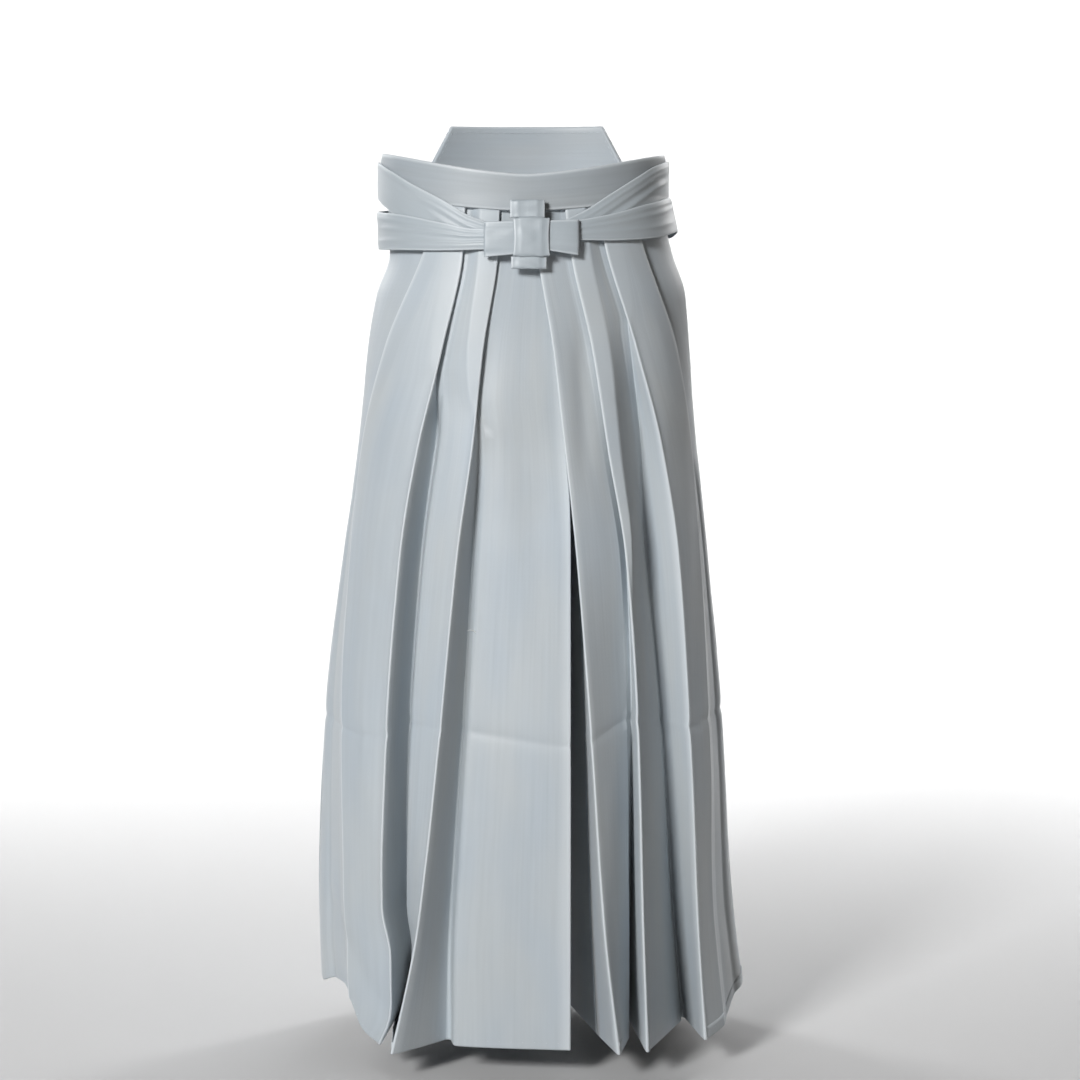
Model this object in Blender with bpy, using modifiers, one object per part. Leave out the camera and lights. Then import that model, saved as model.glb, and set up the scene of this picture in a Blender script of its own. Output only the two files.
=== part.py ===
"""Divided, pleated hakama trousers, as worn: a hollow cloth form that is held up at the waist.

The wearer faces -Y, with their right leg towards -X. The origin is the middle of the waist opening.
Lengths in the tables are in millimetres. Each leg is described in its own frame: "out" runs from the
middle of the body to that leg's side, and "face" runs from the middle of the body to the front or back.
"""
import math
from functools import partial

import bpy
from mathutils import Vector

MM = 0.001

LENGTH = 949.0
CROTCH = 345.0
SLIT_END = 320.0
CLOTH = 1.5
SEAM = 0.3
LAP = CLOTH + SEAM + 0.1
BACK_LAP = 1.15
FOLD_RADIUS = 1.6
CORNER = 1 - math.sqrt(0.5)
UNDER = 4.8
EDGE_BEHIND = 3.0
EDGE_STEP = 5.0

BAND_THICK = 3.0
BAND_OUT = 0.9
BAND_LOW = -18.0
BAND_HIGH = 20.0
BAND_HALF_TURN = 78.0

BOARD_THICK = 5.0
BOARD_TALL = 85.0
BOARD_HALF_LOW = 134.0
BOARD_HALF_HIGH = 90.0

BOARD_IN = 2.0
BOARD_LEAN = 5.0

TIE_THICK = 2.0
LOOP_THICK = 1.8
LOOP_OUT = 9.2
LOOP_GAP = 4.5
LOOP_SEAT = LOOP_THICK / 2 + SEAM + 0.1
WRAP_OUT = 16.0
KNOT_WRAP_X = (-13.3, 25.5)
KNOT_WRAP_Z = (-68.0, -28.0)

FRONT_COLOUR = (0.50, 0.55, 0.58)
BACK_COLOUR = (0.48, 0.53, 0.56)
GUSSET_COLOUR = (0.42, 0.46, 0.49)
TIE_COLOUR = (0.52, 0.57, 0.60)

ROWS = (0, 32, 65, 110, 170, 225, 280, 320, 345, 400, 470, 540, 610, 700, 790, 860, 915, 950)


def smooth(knots, values, at):
    """A cubic through the values whose slopes never overshoot them."""
    if at <= knots[0]:
        return values[0]
    if at >= knots[-1]:
        return values[-1]
    steps = []
    for i in range(len(knots) - 1):
        steps.append((values[i + 1] - values[i]) / (knots[i + 1] - knots[i]))
    slopes = [steps[0]]
    for before, after in zip(steps, steps[1:]):
        same_way = before * after > 0
        slopes.append(2 * before * after / (before + after) if same_way else 0.0)
    slopes.append(steps[-1])
    i = max(k for k in range(len(knots) - 1) if knots[k] <= at)
    span = knots[i + 1] - knots[i]
    t = (at - knots[i]) / span
    start = (1 + 2 * t) * (1 - t) ** 2 * values[i] + t * (1 - t) ** 2 * span * slopes[i]
    end = t * t * (3 - 2 * t) * values[i + 1] - t * t * (1 - t) * span * slopes[i + 1]
    return start + end


class Table:
    """Rows of millimetres under named columns, read smoothly by the first column."""

    def __init__(self, columns, *rows):
        self.columns = columns.split()
        self.rows = rows

    def __call__(self, column, at):
        place = self.columns.index(column)
        return smooth([row[0] for row in self.rows], [row[place] for row in self.rows], at)


BODY = Table(
    "below half_right half_left front back slit_front slit_back",
    (0, 165, 158, 115, 105, 31, 62),
    (65, 163, 174, 120, 113, 33, 56),
    (110, 177, 188, 124.5, 118.5, 29, 48),
    (170, 186, 191, 131, 126, 22, 36),
    (280, 194, 196, 142, 138, 6, 8),
    (320, 198, 200, 146, 142, 0.15, 0.15),
    (400, 210, 208, 152, 148, 0.15, 0.15),
    (600, 235, 227, 165, 162, 0.15, 0.15),
    (800, 243, 239, 177, 176, 0.15, 0.15),
    (950, 240, 254, 186, 186, 0.15, 0.15),
)

# A pleat's ridge is its fold edge. Its valley lies "tuck" further out under the face, or in the open
# where tuck is negative, and "depth" behind the ridge. "ahead" is how far the ridge stands forward.
RIGHT_OUTER_PLEAT = Table(
    "below ridge tuck ahead depth",
    (0, 67, 12, 0, 3.2),
    (65, 70, 17, 0, 3.2),
    (170, 93, 8, 0, 8),
    (280, 119, -15, 2, 20),
    (400, 138, -18, 4, 34),
    (600, 153, -18, 6, 42),
    (790, 158, -20, 6, 56),
    (845, 149, -18, 5, 64),
    (890, 150, -16, 2, 72),
    (918, 154, -14, -2, 78),
    (950, 168, -12, -6, 84),
)
RIGHT_INNER_PLEAT = Table(
    "below ridge tuck ahead depth",
    (0, 29, 18, 0, 3.2),
    (65, 31, 18, 0, 3.2),
    (170, 47, 14, 0, 6),
    (280, 59, -5, 3, 12),
    (400, 75, -14, 6, 22),
    (600, 94, -21, 9, 34),
    (800, 115, -29, 12, 44),
    (950, 141, -52, 20, 62),
)
LEFT_OUTER_PLEAT = Table(
    "below ridge tuck ahead depth",
    (0, 78, 14, 0, 3.2),
    (65, 90, 15, 0, 3.2),
    (170, 123, -3, 0, 8),
    (280, 150, -17, 2, 20),
    (400, 167, -28, 4, 32),
    (600, 181, -22, 4, 42),
    (800, 190, -18, 4, 68),
    (950, 199, -12, 4, 100),
)
LEFT_MIDDLE_PLEAT = Table(
    "below ridge tuck ahead depth",
    (0, 43, 18, 0, 3.2),
    (65, 50, 18, 0, 3.2),
    (170, 73, 16, 0, 6),
    (280, 90, 10, 1, 12),
    (400, 110, 4, 2, 20),
    (600, 124, -3, 2, 38),
    (800, 129, -9, 3, 80),
    (950, 134, -15, 4, 120),
)
LEFT_INNER_RIDGE = Table(
    "below ridge ahead",
    (0, 7, 0),
    (65, 13, 0),
    (170, 30, 1),
    (280, 43, 3),
    (345, 50.4, 4),
    (400, 56, 4),
    (600, 72, 4),
    (800, 85, 5),
    (950, 102, 6),
)
BACK_PLEAT = Table(
    "below ridge tuck ahead depth",
    (0, 42, 16, 0, 3.2),
    (65, 44, 16, 0, 3.2),
    (170, 50, 14, 0, 5),
    (280, 58, 8, 1, 10),
    (400, 66, 2, 2, 18),
    (600, 80, -10, 3, 28),
    (800, 92, -16, 4, 36),
    (950, 100, -20, 5, 40),
)

# The slit fold runs from the waist to the foot of the side slit, with its tuck turned to the middle.
RIGHT_SLIT_FOLD = Table(
    "below ridge tuck depth",
    (0, 97, 9, 3.2),
    (65, 115, 16, 3.2),
    (170, 159, 14, 3.2),
    (280, 186, 3, 3.2),
    (400, 200, -4, 4),
    (600, 210, -8, 5),
    (800, 207, -10, 6),
    (950, 200, -8, 10),
)
LEFT_SLIT_FOLD = Table(
    "below ridge tuck depth",
    (0, 114, 10, 3.2),
    (65, 133, 14, 3.2),
    (170, 169, 12, 3.2),
    (280, 187, 3, 3.2),
    (400, 198, -4, 4),
    (600, 208, -8, 5),
    (800, 214, -10, 6),
    (950, 226, -10, 8),
)

# The right leg's front panel ends in a fold beyond the middle. Past it a strip turns into the body, by
# "turn" degrees, to the inner seam. Below the crotch the left leg's seam stands "apart" from the right's.
FRONT_EDGE = Table(
    "below edge behind strip turn apart",
    (0, 29, 12, 20, 0, 0),
    (65, 31, 11, 19, 5, 0),
    (170, 36, 11, 20, 25, 0),
    (280, 43, 14, 22, 55, 0),
    (345, 48, 15, 24, 85, 0),
    (400, 49, 13, 30, 90, 9),
    (600, 49, 11, 42, 95, 20),
    (800, 49, 14, 48, 100, 31),
    (950, 49, 18, 52, 104, 44),
)
BACK_EDGE = Table(
    "below edge strip",
    (0, BACK_LAP, 7),
    (65, BACK_LAP, 7),
    (170, BACK_LAP, 12),
    (280, BACK_LAP, 18),
    (345, BACK_LAP, 20),
    (400, 5, 28),
    (600, 12, 36),
    (800, 18, 40),
    (950, 22, 42),
)

# How far the hem rises towards each side, by the distance out from the middle.
HEM_RISE = Table(
    "out right left",
    (165, 0, 0),
    (185, 15, 0),
    (198, 44, 2),
    (208, 56, 4),
    (226, 52, 10),
    (240, 44, 30),
    (254, 44, 39),
)


# The ties: "turn" is in degrees round the waist from the front middle, positive to the left side.
FRONT_TIE_LEFT = Table(
    "place turn z outward width",
    (0, 78.7, 23, 0.9, 40),
    (0.4, 85, 23, 0.7, 40),
    (1, 95, 20, 0, 39),
    (2, 112, 14, -11, 38),
    (3, 145, 4, -11, 38),
    (4, 180, -8, -11, 38),
    (5, 215, -20, -11, 38),
    (6, 248, -30, -11, 38),
    (7, 264, -35, -2, 40),
    (8, 280, -38, 6.6, 41),
    (9, 305, -41, 6.6, 38),
    (10, 330, -47, 6.6, 29),
    (11, 343, -50, 6.6, 22),
    (12, 356, -50, 6.6, 20),
)
FRONT_TIE_RIGHT = Table(
    "place turn z outward width",
    (0, -78.7, 23, 0.9, 40),
    (0.4, -85, 23, 0.7, 40),
    (1, -95, 20, 0, 39),
    (2, -112, 14, -14.5, 38),
    (3, -145, 4, -14.5, 38),
    (4, -180, -8, -14.5, 38),
    (5, -215, -18, -14.5, 38),
    (6, -248, -28, -14.5, 38),
    (7, -264, -26, -2, 37),
    (8, -280, -20, 6.6, 37),
    (9, -305, -28, 6.6, 36),
    (10, -330, -37, 6.6, 27),
    (11, -343, -40, 6.6, 21),
    (12, -354, -41, 6.6, 20),
)
BACK_TIE_RIGHT = Table(
    "place turn z outward width",
    (0, -7, -48, 4.1, 22),
    (1, -20, -40, 4.1, 31),
    (2, -34, -24, 4.1, 39),
    (3, -50, -8, 4.1, 42),
    (4, -66, 8, 4.1, 41),
    (5, -86, 19, 4.1, 40),
    (6, -105, 21, 2.6, 38),
    (7, -126, 20, -2, 36),
)
BACK_TIE_LEFT = Table(
    "place turn z outward width",
    (0, 9, -44, 4.1, 20),
    (1, 20, -34, 4.1, 27),
    (2, 34, -16, 4.1, 31),
    (3, 50, 2, 4.1, 35),
    (4, 66, 15, 4.1, 38),
    (5, 86, 20, 4.1, 40),
    (6, 105, 21, 2.6, 38),
    (7, 121.8, 20, -2, 36),
)


def half_width(side, below):
    return BODY("half_right" if side < 0 else "half_left", below)


def power(below):
    return 2.3 + 0.6 * below / LENGTH


def oval(out, half, deep, below):
    """How far the body's oval stands towards the face, at this distance out from the middle."""
    share = min(abs(out) / half, 1.0)
    return deep * math.sqrt(max(0.0, 1 - share ** power(below)))


def oval_point(out, half, deep, below, behind):
    """A point of the oval moved in by "behind": square to it at first, and straight back past the layers."""
    step = 0.5
    at = Vector((out, oval(out, half, deep, below)))
    along = Vector((out + step, oval(out + step, half, deep, below)))
    along -= Vector((out - step, oval(out - step, half, deep, below)))
    along.normalize()
    inward = Vector((along.y, -along.x))
    if inward.y > 0:
        inward = -inward
    near = min(behind, 7.0)
    return at + inward * near + Vector((0, -1)) * (behind - near)


def fold_arc(before, tip, after, radius, way, steps=3):
    """Points round a fold whose extreme is the tip, turning left where way is 1 and right where it is -1."""
    into = math.atan2(tip.y - before.y, tip.x - before.x)
    out_of = math.atan2(after.y - tip.y, after.x - tip.x)
    turn = (way * (out_of - into)) % math.tau
    if turn > 1.5 * math.pi or turn < 0.1:
        turn = 0.1
    middle = into + way * turn / 2
    centre = tip + way * radius * Vector((-math.sin(middle), math.cos(middle)))
    points = []
    for step in range(steps + 1):
        angle = into + way * turn * step / steps
        points.append(centre - way * radius * Vector((-math.sin(angle), math.cos(angle))))
    return points


def folded_line(stops, surface):
    """Joins the stops: each is (point, turning way or 0, radius, points between it and the next).

    The points between keep to the surface, whose distance to them changes evenly along the face.
    """
    line = []
    for i, (point, way, radius, _) in enumerate(stops):
        if way == 0:
            bends = [point]
        else:
            bends = fold_arc(stops[i - 1][0], point, stops[i + 1][0], radius, way)
        if i > 0:
            between = stops[i - 1][3]
            start, end = line[-1], bends[0]
            start_behind, end_behind = surface(start.x) - start.y, surface(end.x) - end.y
            for k in range(between):
                share = (k + 1) / (between + 1)
                out = start.x + (end.x - start.x) * share
                behind = start_behind + (end_behind - start_behind) * share
                line.append(Vector((out, surface(out) - behind)))
        line.extend(bends)
    return line


def panel_line(side, below, deep, slit, slit_fold, pleats, ends):
    """A panel's level section in the leg's frame, from its side edge to the middle."""
    half = half_width(side, below)
    gap = BODY(slit, below)
    deep_mm = BODY(deep, below)
    edge_behind = EDGE_BEHIND * max(0.0, min(1.0, (SLIT_END - below) / 100)) if slit_fold else 0.0
    edge_out = half * (1 - (gap / deep_mm) ** 2) ** (1 / power(below)) - edge_behind
    stops = [(Vector((edge_out, gap)), 0, 0, 0)]
    beside = half * (1 - ((gap + EDGE_STEP) / deep_mm) ** 2) ** (1 / power(below)) - edge_behind
    stops.append((Vector((beside, gap + EDGE_STEP)), 0, 0, 0 if slit_fold else 2))
    if slit_fold:
        ridge, tuck, depth = (slit_fold(name, below) for name in ("ridge", "tuck", "depth"))
        valley = oval_point(ridge - tuck, half, deep_mm, below, depth)
        fold = oval_point(ridge, half, deep_mm, below, 0)
        layered = max(0.0, min(1.0, tuck / 4))
        under = oval_point(ridge + 3, half, deep_mm, below, UNDER)
        strip = (stops[-1][0] + valley) / 2 * (1 - layered) + under * layered
        stops.append((strip, 0, 0, 0))
        stops.append((valley, -1, FOLD_RADIUS, 0))
        stops.append((fold, 1, FOLD_RADIUS, 0))
        past = ridge - max(tuck, 0) - 3
        stops.append((oval_point(past, half, deep_mm, below, -FOLD_RADIUS * layered), 0, 0, 1))
    folds = []
    for pleat in pleats:
        ridge, tuck, ahead, depth = (pleat(name, below) for name in ("ridge", "tuck", "ahead", "depth"))
        tip = oval_point(ridge, half, deep_mm, below, -ahead)
        valley = oval_point(ridge + tuck, half, deep_mm, below, depth - ahead)
        folds.append((ridge, tuck, ahead, tip, valley))
    after = [fold[3] for fold in folds[1:]] + [ends[0][0]]
    for (ridge, tuck, ahead, tip, valley), following in zip(folds, after):
        hidden = max(0.0, min(1.0, tuck / 4))
        before = stops[-1][0]
        near = tip + (before - tip).normalized() * 4
        over = oval_point(ridge + tuck + 3, half, deep_mm, below, -FOLD_RADIUS - ahead)
        stops.append((near + (over - near) * hidden, 0, 0, 1))
        stops.append((tip, 1, FOLD_RADIUS, 0))
        stops.append((valley, -1, FOLD_RADIUS + 0.05 * max(0.0, -tuck), 0))
        under = oval_point(ridge - 4, half, deep_mm, below, UNDER - ahead)
        opened = valley + (following - valley) * 0.25
        stops.append((opened + (under - opened) * hidden, 0, 0, 1))
    stops.extend(ends)
    return folded_line(stops, lambda out: oval(out, half, deep_mm, below))


def right_inner_seam(below):
    """The right leg's front fold beyond the middle, and the inner seam that its strip ends at."""
    half = half_width(-1, below)
    edge, behind, strip, turn = (FRONT_EDGE(name, below) for name in ("edge", "behind", "strip", "turn"))
    fold = Vector((-edge, oval(-edge, half, BODY("front", below), below) - behind))
    angle = math.radians(turn)
    return fold, fold + strip * Vector((-math.cos(angle), -math.sin(angle)))


def left_inner_seam(below):
    """The left leg's inner seam in that leg's frame: lapped on the right leg's above the crotch."""
    _, seam = right_inner_seam(below)
    angle = math.radians(FRONT_EDGE("turn", below))
    away = LAP + FRONT_EDGE("apart", below)
    moved = seam + away * Vector((-math.sin(angle), math.cos(angle)))
    return Vector((-moved.x, moved.y))


def back_inner_seam(side, below):
    half = half_width(side, below)
    edge = BACK_EDGE("edge", below)
    deep = oval(edge, half, BODY("back", below), below)
    fold = Vector((edge + CORNER * FOLD_RADIUS, deep - CORNER * FOLD_RADIUS))
    return fold, Vector((edge, deep - BACK_EDGE("strip", below)))


def front_right_line(below):
    fold, seam = right_inner_seam(below)
    ends = [(fold, 1, FOLD_RADIUS, 0), (seam, 0, 0, 0)]
    return panel_line(
        -1, below, "front", "slit_front", RIGHT_SLIT_FOLD, (RIGHT_OUTER_PLEAT, RIGHT_INNER_PLEAT), ends
    )


def front_left_line(below):
    half = half_width(1, below)
    ridge, ahead = LEFT_INNER_RIDGE("ridge", below), LEFT_INNER_RIDGE("ahead", below)
    tip = oval_point(ridge, half, BODY("front", below), below, -ahead)
    ends = [(tip, 1, FOLD_RADIUS, 0), (left_inner_seam(below), 0, 0, 0)]
    return panel_line(
        1, below, "front", "slit_front", LEFT_SLIT_FOLD, (LEFT_OUTER_PLEAT, LEFT_MIDDLE_PLEAT), ends
    )


def back_line(side, below):
    fold, seam = back_inner_seam(side, below)
    ends = [(fold, 1, FOLD_RADIUS, 0), (seam, 0, 0, 0)]
    return panel_line(side, below, "back", "slit_back", None, (BACK_PLEAT,), ends)


def gusset_line(side, below):
    """The inner side of a leg, from its front seam to its back seam, in the leg's frame."""
    front = right_inner_seam(below)[1] if side < 0 else left_inner_seam(below)
    back = back_inner_seam(side, below)[1]
    back = Vector((back.x, -back.y))
    way = (back - front).normalized()
    start = front + way * SEAM
    end = back - way * SEAM
    points = []
    for k in range(6):
        share = k / 5
        points.append(start + (end - start) * share)
    return points


def height(out, side, below, top):
    """The height of a panel's point: the top follows the band, and the hem rises at the sides."""
    near_top = max(0.0, 1 - below / 120) ** 2
    rise = HEM_RISE("right" if side < 0 else "left", abs(out)) * (below / LENGTH) ** 10
    return -min(below, LENGTH) + near_top * top(out) + rise


def band_low(out):
    return BAND_LOW * (1 - min(abs(out) / 160, 1.0) ** 1.6)


def band_high(out):
    return BAND_HIGH + 27.0 * min(abs(out) / 160, 1.0) ** 1.5


def under_band(out):
    return band_low(out) - 2 * SEAM


def under_board(out):
    return -SEAM


def panel_grid(side, line, facing, top, rows):
    """Rows of points in metres. Side is -1 for the right leg, facing -1 for the front."""
    grid = []
    for below in rows:
        row = []
        for point in line(below):
            z = height(point.x, side, below, top)
            row.append(Vector((side * point.x, facing * point.y, z)) * MM)
        grid.append(row)
    return grid


def material(name, colour, roughness):
    """The plain satin weave of the cloth, or the stiffer face of the board."""
    made = bpy.data.materials.new(name)
    made.use_nodes = True
    shader = made.node_tree.nodes["Principled BSDF"]
    shader.inputs["Base Color"].default_value = (*colour, 1)
    shader.inputs["Roughness"].default_value = roughness
    made.diffuse_color = (*colour, 1)
    return made


def wall(name, grid, thickness, colour, roughness=0.6):
    """A named object: the grid as a cloth wall of this thickness, half of it to each side."""
    across = len(grid[0])
    points = [point for row in grid for point in row]
    faces = []
    for i in range(len(grid) - 1):
        for j in range(across - 1):
            corner = i * across + j
            faces.append((corner, corner + 1, corner + across + 1, corner + across))
    mesh = bpy.data.meshes.new(name)
    mesh.from_pydata(points, [], faces)
    mesh.update()
    made = bpy.data.objects.new(name, mesh)
    made.data.materials.append(material(name, colour, roughness))
    garment.objects.link(made)
    shell = made.modifiers.new("thickness", "SOLIDIFY")
    shell.thickness = thickness * MM
    shell.offset = 0
    shell.use_even_offset = True
    mesh.shade_smooth()
    mesh.set_sharp_from_angle(angle=math.radians(50))
    return made


def around(turn, z, outward):
    """A point in mm round the waist: turn is degrees from the front middle, positive to the left side."""
    angle = math.radians(turn)
    side = -1 if math.sin(angle) < 0 else 1
    below = max(0.0, -z)
    half = half_width(side, below)
    deep = BODY("front" if math.cos(angle) > 0 else "back", below)
    out = half * abs(math.sin(angle)) ** (2 / power(below))
    at = Vector((out, deep * math.cos(angle)))
    away = Vector((at.x / half ** 2, at.y / deep ** 2)).normalized()
    at += away * outward
    return Vector((side * at.x, -at.y, z))


def tie(name, stops, colour, steps=24, across=3):
    """A flat tie that lies along the waist, through a table of turn, height, outward and width."""
    last = stops.rows[-1][0]
    way = 1 if stops.rows[-1][1] > stops.rows[0][1] else -1

    def centre(place):
        return around(stops("turn", place), stops("z", place), stops("outward", place))

    grid = []
    for k in range(steps + 1):
        place = last * k / steps
        turn, z, outward, width = (stops(column, place) for column in ("turn", "z", "outward", "width"))
        along = centre(min(place + 0.05, last)) - centre(max(place - 0.05, 0))
        level = math.hypot(along.x, along.y)
        per_degree = (around(turn + 0.5, z, outward) - around(turn - 0.5, z, outward)).length
        row = []
        for j in range(across):
            off = width * (j / (across - 1) - 0.5)
            turned = turn - way * off * along.z / along.length / per_degree
            row.append(around(turned, z + off * level / along.length, outward) * MM)
        grid.append(row)
    return wall(name, grid, TIE_THICK, colour)


def front_point(x, z, outward):
    """A point in mm in front of the middle of the waist."""
    side = -1 if x < 0 else 1
    below = max(0.0, -z)
    deep = oval(abs(x), half_width(side, below), BODY("front", below), below)
    return Vector((x, -deep - outward, z))


def hairpin(length, gap, steps=4):
    """(along, outward) from the open end out along one layer, round the fold and back along the other."""
    radius = gap / 2
    line = [((length - radius) * k / 2, 0.0) for k in range(2)]
    for k in range(steps + 1):
        angle = math.pi * k / steps - math.pi / 2
        line.append((length - radius + radius * math.cos(angle), radius + radius * math.sin(angle)))
    line.extend([((length - radius) / 2, gap), (0.0, gap)])
    return line


def side_loop(name, inner, outer, inner_z, outer_z, colour):
    """A folded loop that lies across the knot: low and high ends of its heights at the inner and outer x."""
    grid = []
    length = abs(outer - inner)
    way = 1 if outer > inner else -1
    for k in range(4):
        row = []
        for along, out in hairpin(length, LOOP_GAP):
            share = along / length
            low = inner_z[0] + (outer_z[0] - inner_z[0]) * share
            high = inner_z[1] + (outer_z[1] - inner_z[1]) * share
            row.append(front_point(inner + way * along, low + (high - low) * k / 3, LOOP_OUT + out) * MM)
        grid.append(row)
    return wall(name, grid, LOOP_THICK, colour)


def upright_loop(name, x_low, x_high, start, end, gap, colour):
    """A folded loop or tail that stands up or hangs down from the knot, from start to end."""
    grid = []
    way = 1 if end > start else -1
    for k in range(4):
        x = x_low + (x_high - x_low) * k / 3
        line = hairpin(abs(end - start), gap)
        grid.append([front_point(x, start + way * along, LOOP_OUT + out) * MM for along, out in line])
    return wall(name, grid, LOOP_THICK, colour)


def knot_wrap(colour):
    """The stretch of tie round the middle of the knot: its face, and its top and foot turned back."""
    low, high = KNOT_WRAP_Z
    out_turned = WRAP_OUT - 6.5
    corner = 1.5
    line = [
        (low, out_turned),
        (low, WRAP_OUT - corner),
        (low + corner * CORNER, WRAP_OUT - corner * CORNER),
        (low + corner, WRAP_OUT),
        ((low + high) / 2, WRAP_OUT + 0.8),
        (high - corner, WRAP_OUT),
        (high - corner * CORNER, WRAP_OUT - corner * CORNER),
        (high, WRAP_OUT - corner),
        (high, out_turned),
    ]
    grid = []
    for k in range(5):
        x = KNOT_WRAP_X[0] + (KNOT_WRAP_X[1] - KNOT_WRAP_X[0]) * k / 4
        grid.append([front_point(x, z, out) * MM for z, out in line])
    return wall("knot_wrap", grid, LOOP_THICK, colour)


def front_waistband(colour):
    grid = []
    across = 28
    for k in range(4):
        row = []
        for j in range(across + 1):
            turn = BAND_HALF_TURN * (2 * j / across - 1)
            out = around(turn, 0, 0).x
            z = band_low(out) + (band_high(out) - band_low(out)) * k / 3
            row.append(around(turn, z, BAND_OUT) * MM)
        grid.append(row)
    return wall("front_waistband", grid, BAND_THICK, colour)


def back_board(colour):
    """The stiff trapezoid at the back of the waist, bent to the back and leaning in a little at its top."""
    grid = []
    across = 14
    for k in range(5):
        share = k / 4
        half = BOARD_HALF_LOW + (BOARD_HALF_HIGH - BOARD_HALF_LOW) * share
        row = []
        for j in range(across + 1):
            x = half * (2 * j / across - 1)
            side = -1 if x < 0 else 1
            deep = oval(abs(x), half_width(side, 0), BODY("back", 0), 0) - BOARD_IN - BOARD_LEAN * share ** 2
            row.append(Vector((x, deep, BOARD_TALL * share)) * MM)
        grid.append(row)
    return wall("back_board", grid, BOARD_THICK, colour)


def panels():
    """The two fronts, the two backs and the two gussets between the legs."""
    leg_rows = tuple(row for row in ROWS if row >= CROTCH)
    fronts = (("front_right", -1, front_right_line), ("front_left", 1, front_left_line))
    for name, side, line in fronts:
        wall(name, panel_grid(side, line, -1, under_band, ROWS), CLOTH, FRONT_COLOUR)
    for name, side in (("back_right", -1), ("back_left", 1)):
        grid = panel_grid(side, partial(back_line, side), 1, under_board, ROWS)
        wall(name, grid, CLOTH, BACK_COLOUR)
    for name, side in (("gusset_right", -1), ("gusset_left", 1)):
        grid = panel_grid(side, partial(gusset_line, side), -1, under_board, leg_rows)
        wall(name, grid, CLOTH, GUSSET_COLOUR)


def ties():
    tie("front_tie_left", FRONT_TIE_LEFT, TIE_COLOUR, steps=44)
    tie("front_tie_right", FRONT_TIE_RIGHT, TIE_COLOUR, steps=44)
    tie("back_tie_right", BACK_TIE_RIGHT, TIE_COLOUR)
    tie("back_tie_left", BACK_TIE_LEFT, TIE_COLOUR)


def knot():
    """The cross-shaped knot: a wrap, a loop to each side, a loop above and a tail below."""
    low, high = KNOT_WRAP_Z
    knot_wrap(TIE_COLOUR)
    side_loop("knot_loop_right", -3.0, -45.5, (-65.0, -31.0), (-69.0, -32.0), TIE_COLOUR)
    side_loop("knot_loop_left", 15.0, 57.7, (-65.0, -31.0), (-67.0, -29.5), TIE_COLOUR)
    upright_loop("knot_loop_upper", -16.6, 20.0, high + LOOP_SEAT, -8.0, 3.6, TIE_COLOUR)
    upright_loop("knot_tail_lower", -15.5, 22.0, low - LOOP_SEAT, -82.0, 3.0, TIE_COLOUR)


for startup in list(bpy.data.objects):
    bpy.data.objects.remove(startup)
garment = bpy.data.collections.new("hakama")
bpy.context.scene.collection.children.link(garment)
panels()
front_waistband(FRONT_COLOUR)
back_board(BACK_COLOUR)
ties()
knot()
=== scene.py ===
# %% [markdown]
# # Hakama trousers
# A hakama is a pair of very wide pleated trousers that ties over the waist. This one is the divided
# kind: two legs, five pleats in front, a pleat on each half of the back, and a stiff board that sits
# on the small of the back. It is shown as it is worn, a hollow form that its ties hold at the waist.
#
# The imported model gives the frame: its size, its origin in the middle of the waist opening, and the
# solids that collide. This lesson puts thin cloth, folded ties and a knot where those solids are.

import math

import bpy
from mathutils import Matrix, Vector, noise


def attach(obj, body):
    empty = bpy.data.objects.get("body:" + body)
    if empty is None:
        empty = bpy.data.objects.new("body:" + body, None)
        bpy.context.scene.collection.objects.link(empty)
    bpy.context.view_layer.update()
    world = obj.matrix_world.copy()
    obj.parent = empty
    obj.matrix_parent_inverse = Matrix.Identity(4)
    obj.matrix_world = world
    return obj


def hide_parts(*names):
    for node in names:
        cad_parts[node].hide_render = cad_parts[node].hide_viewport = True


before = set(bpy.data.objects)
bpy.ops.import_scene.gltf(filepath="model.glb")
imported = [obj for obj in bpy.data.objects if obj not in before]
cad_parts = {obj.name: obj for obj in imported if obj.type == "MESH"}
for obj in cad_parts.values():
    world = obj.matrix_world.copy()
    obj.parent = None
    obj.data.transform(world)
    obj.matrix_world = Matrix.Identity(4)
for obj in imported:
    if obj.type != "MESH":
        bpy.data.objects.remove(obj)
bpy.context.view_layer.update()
print("nodes:", sorted(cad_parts))

# %% [markdown]
# ## The camera
# The view is from the front, from about three metres away and at the height of the hips. Turning the
# camera down by a few degrees frames the garment; a lens shift would do it too, but it would push the
# object off centre in every other view.

# %% Camera
MM = 0.001
FRAME_PIXELS = 1080
FOCAL_PIXELS = 2555
SENSOR_MM = 36
CAMERA_AT = Vector((0.0155, -2.952, -0.126))
CAMERA_DOWN = math.radians(5.18)

camera_data = bpy.data.cameras.new("front_view")
camera_data.sensor_width = SENSOR_MM
camera_data.lens = FOCAL_PIXELS / FRAME_PIXELS * SENSOR_MM
camera = bpy.data.objects.new("front_view", camera_data)
camera.location = CAMERA_AT
camera.rotation_euler = (math.pi / 2 - CAMERA_DOWN, 0, 0)
bpy.context.scene.collection.objects.link(camera)
bpy.context.scene.camera = camera
print("lens:", round(camera_data.lens, 1), "mm")

# %% [markdown]
# ## Sizes as smooth tables
# Cloth that hangs in pleats changes slowly from waist to hem. A pattern maker writes such a change as
# a few measurements at chosen heights. Here each row of a table holds those measurements in
# millimetres, and a cubic that never overshoots reads the heights between them.

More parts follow.
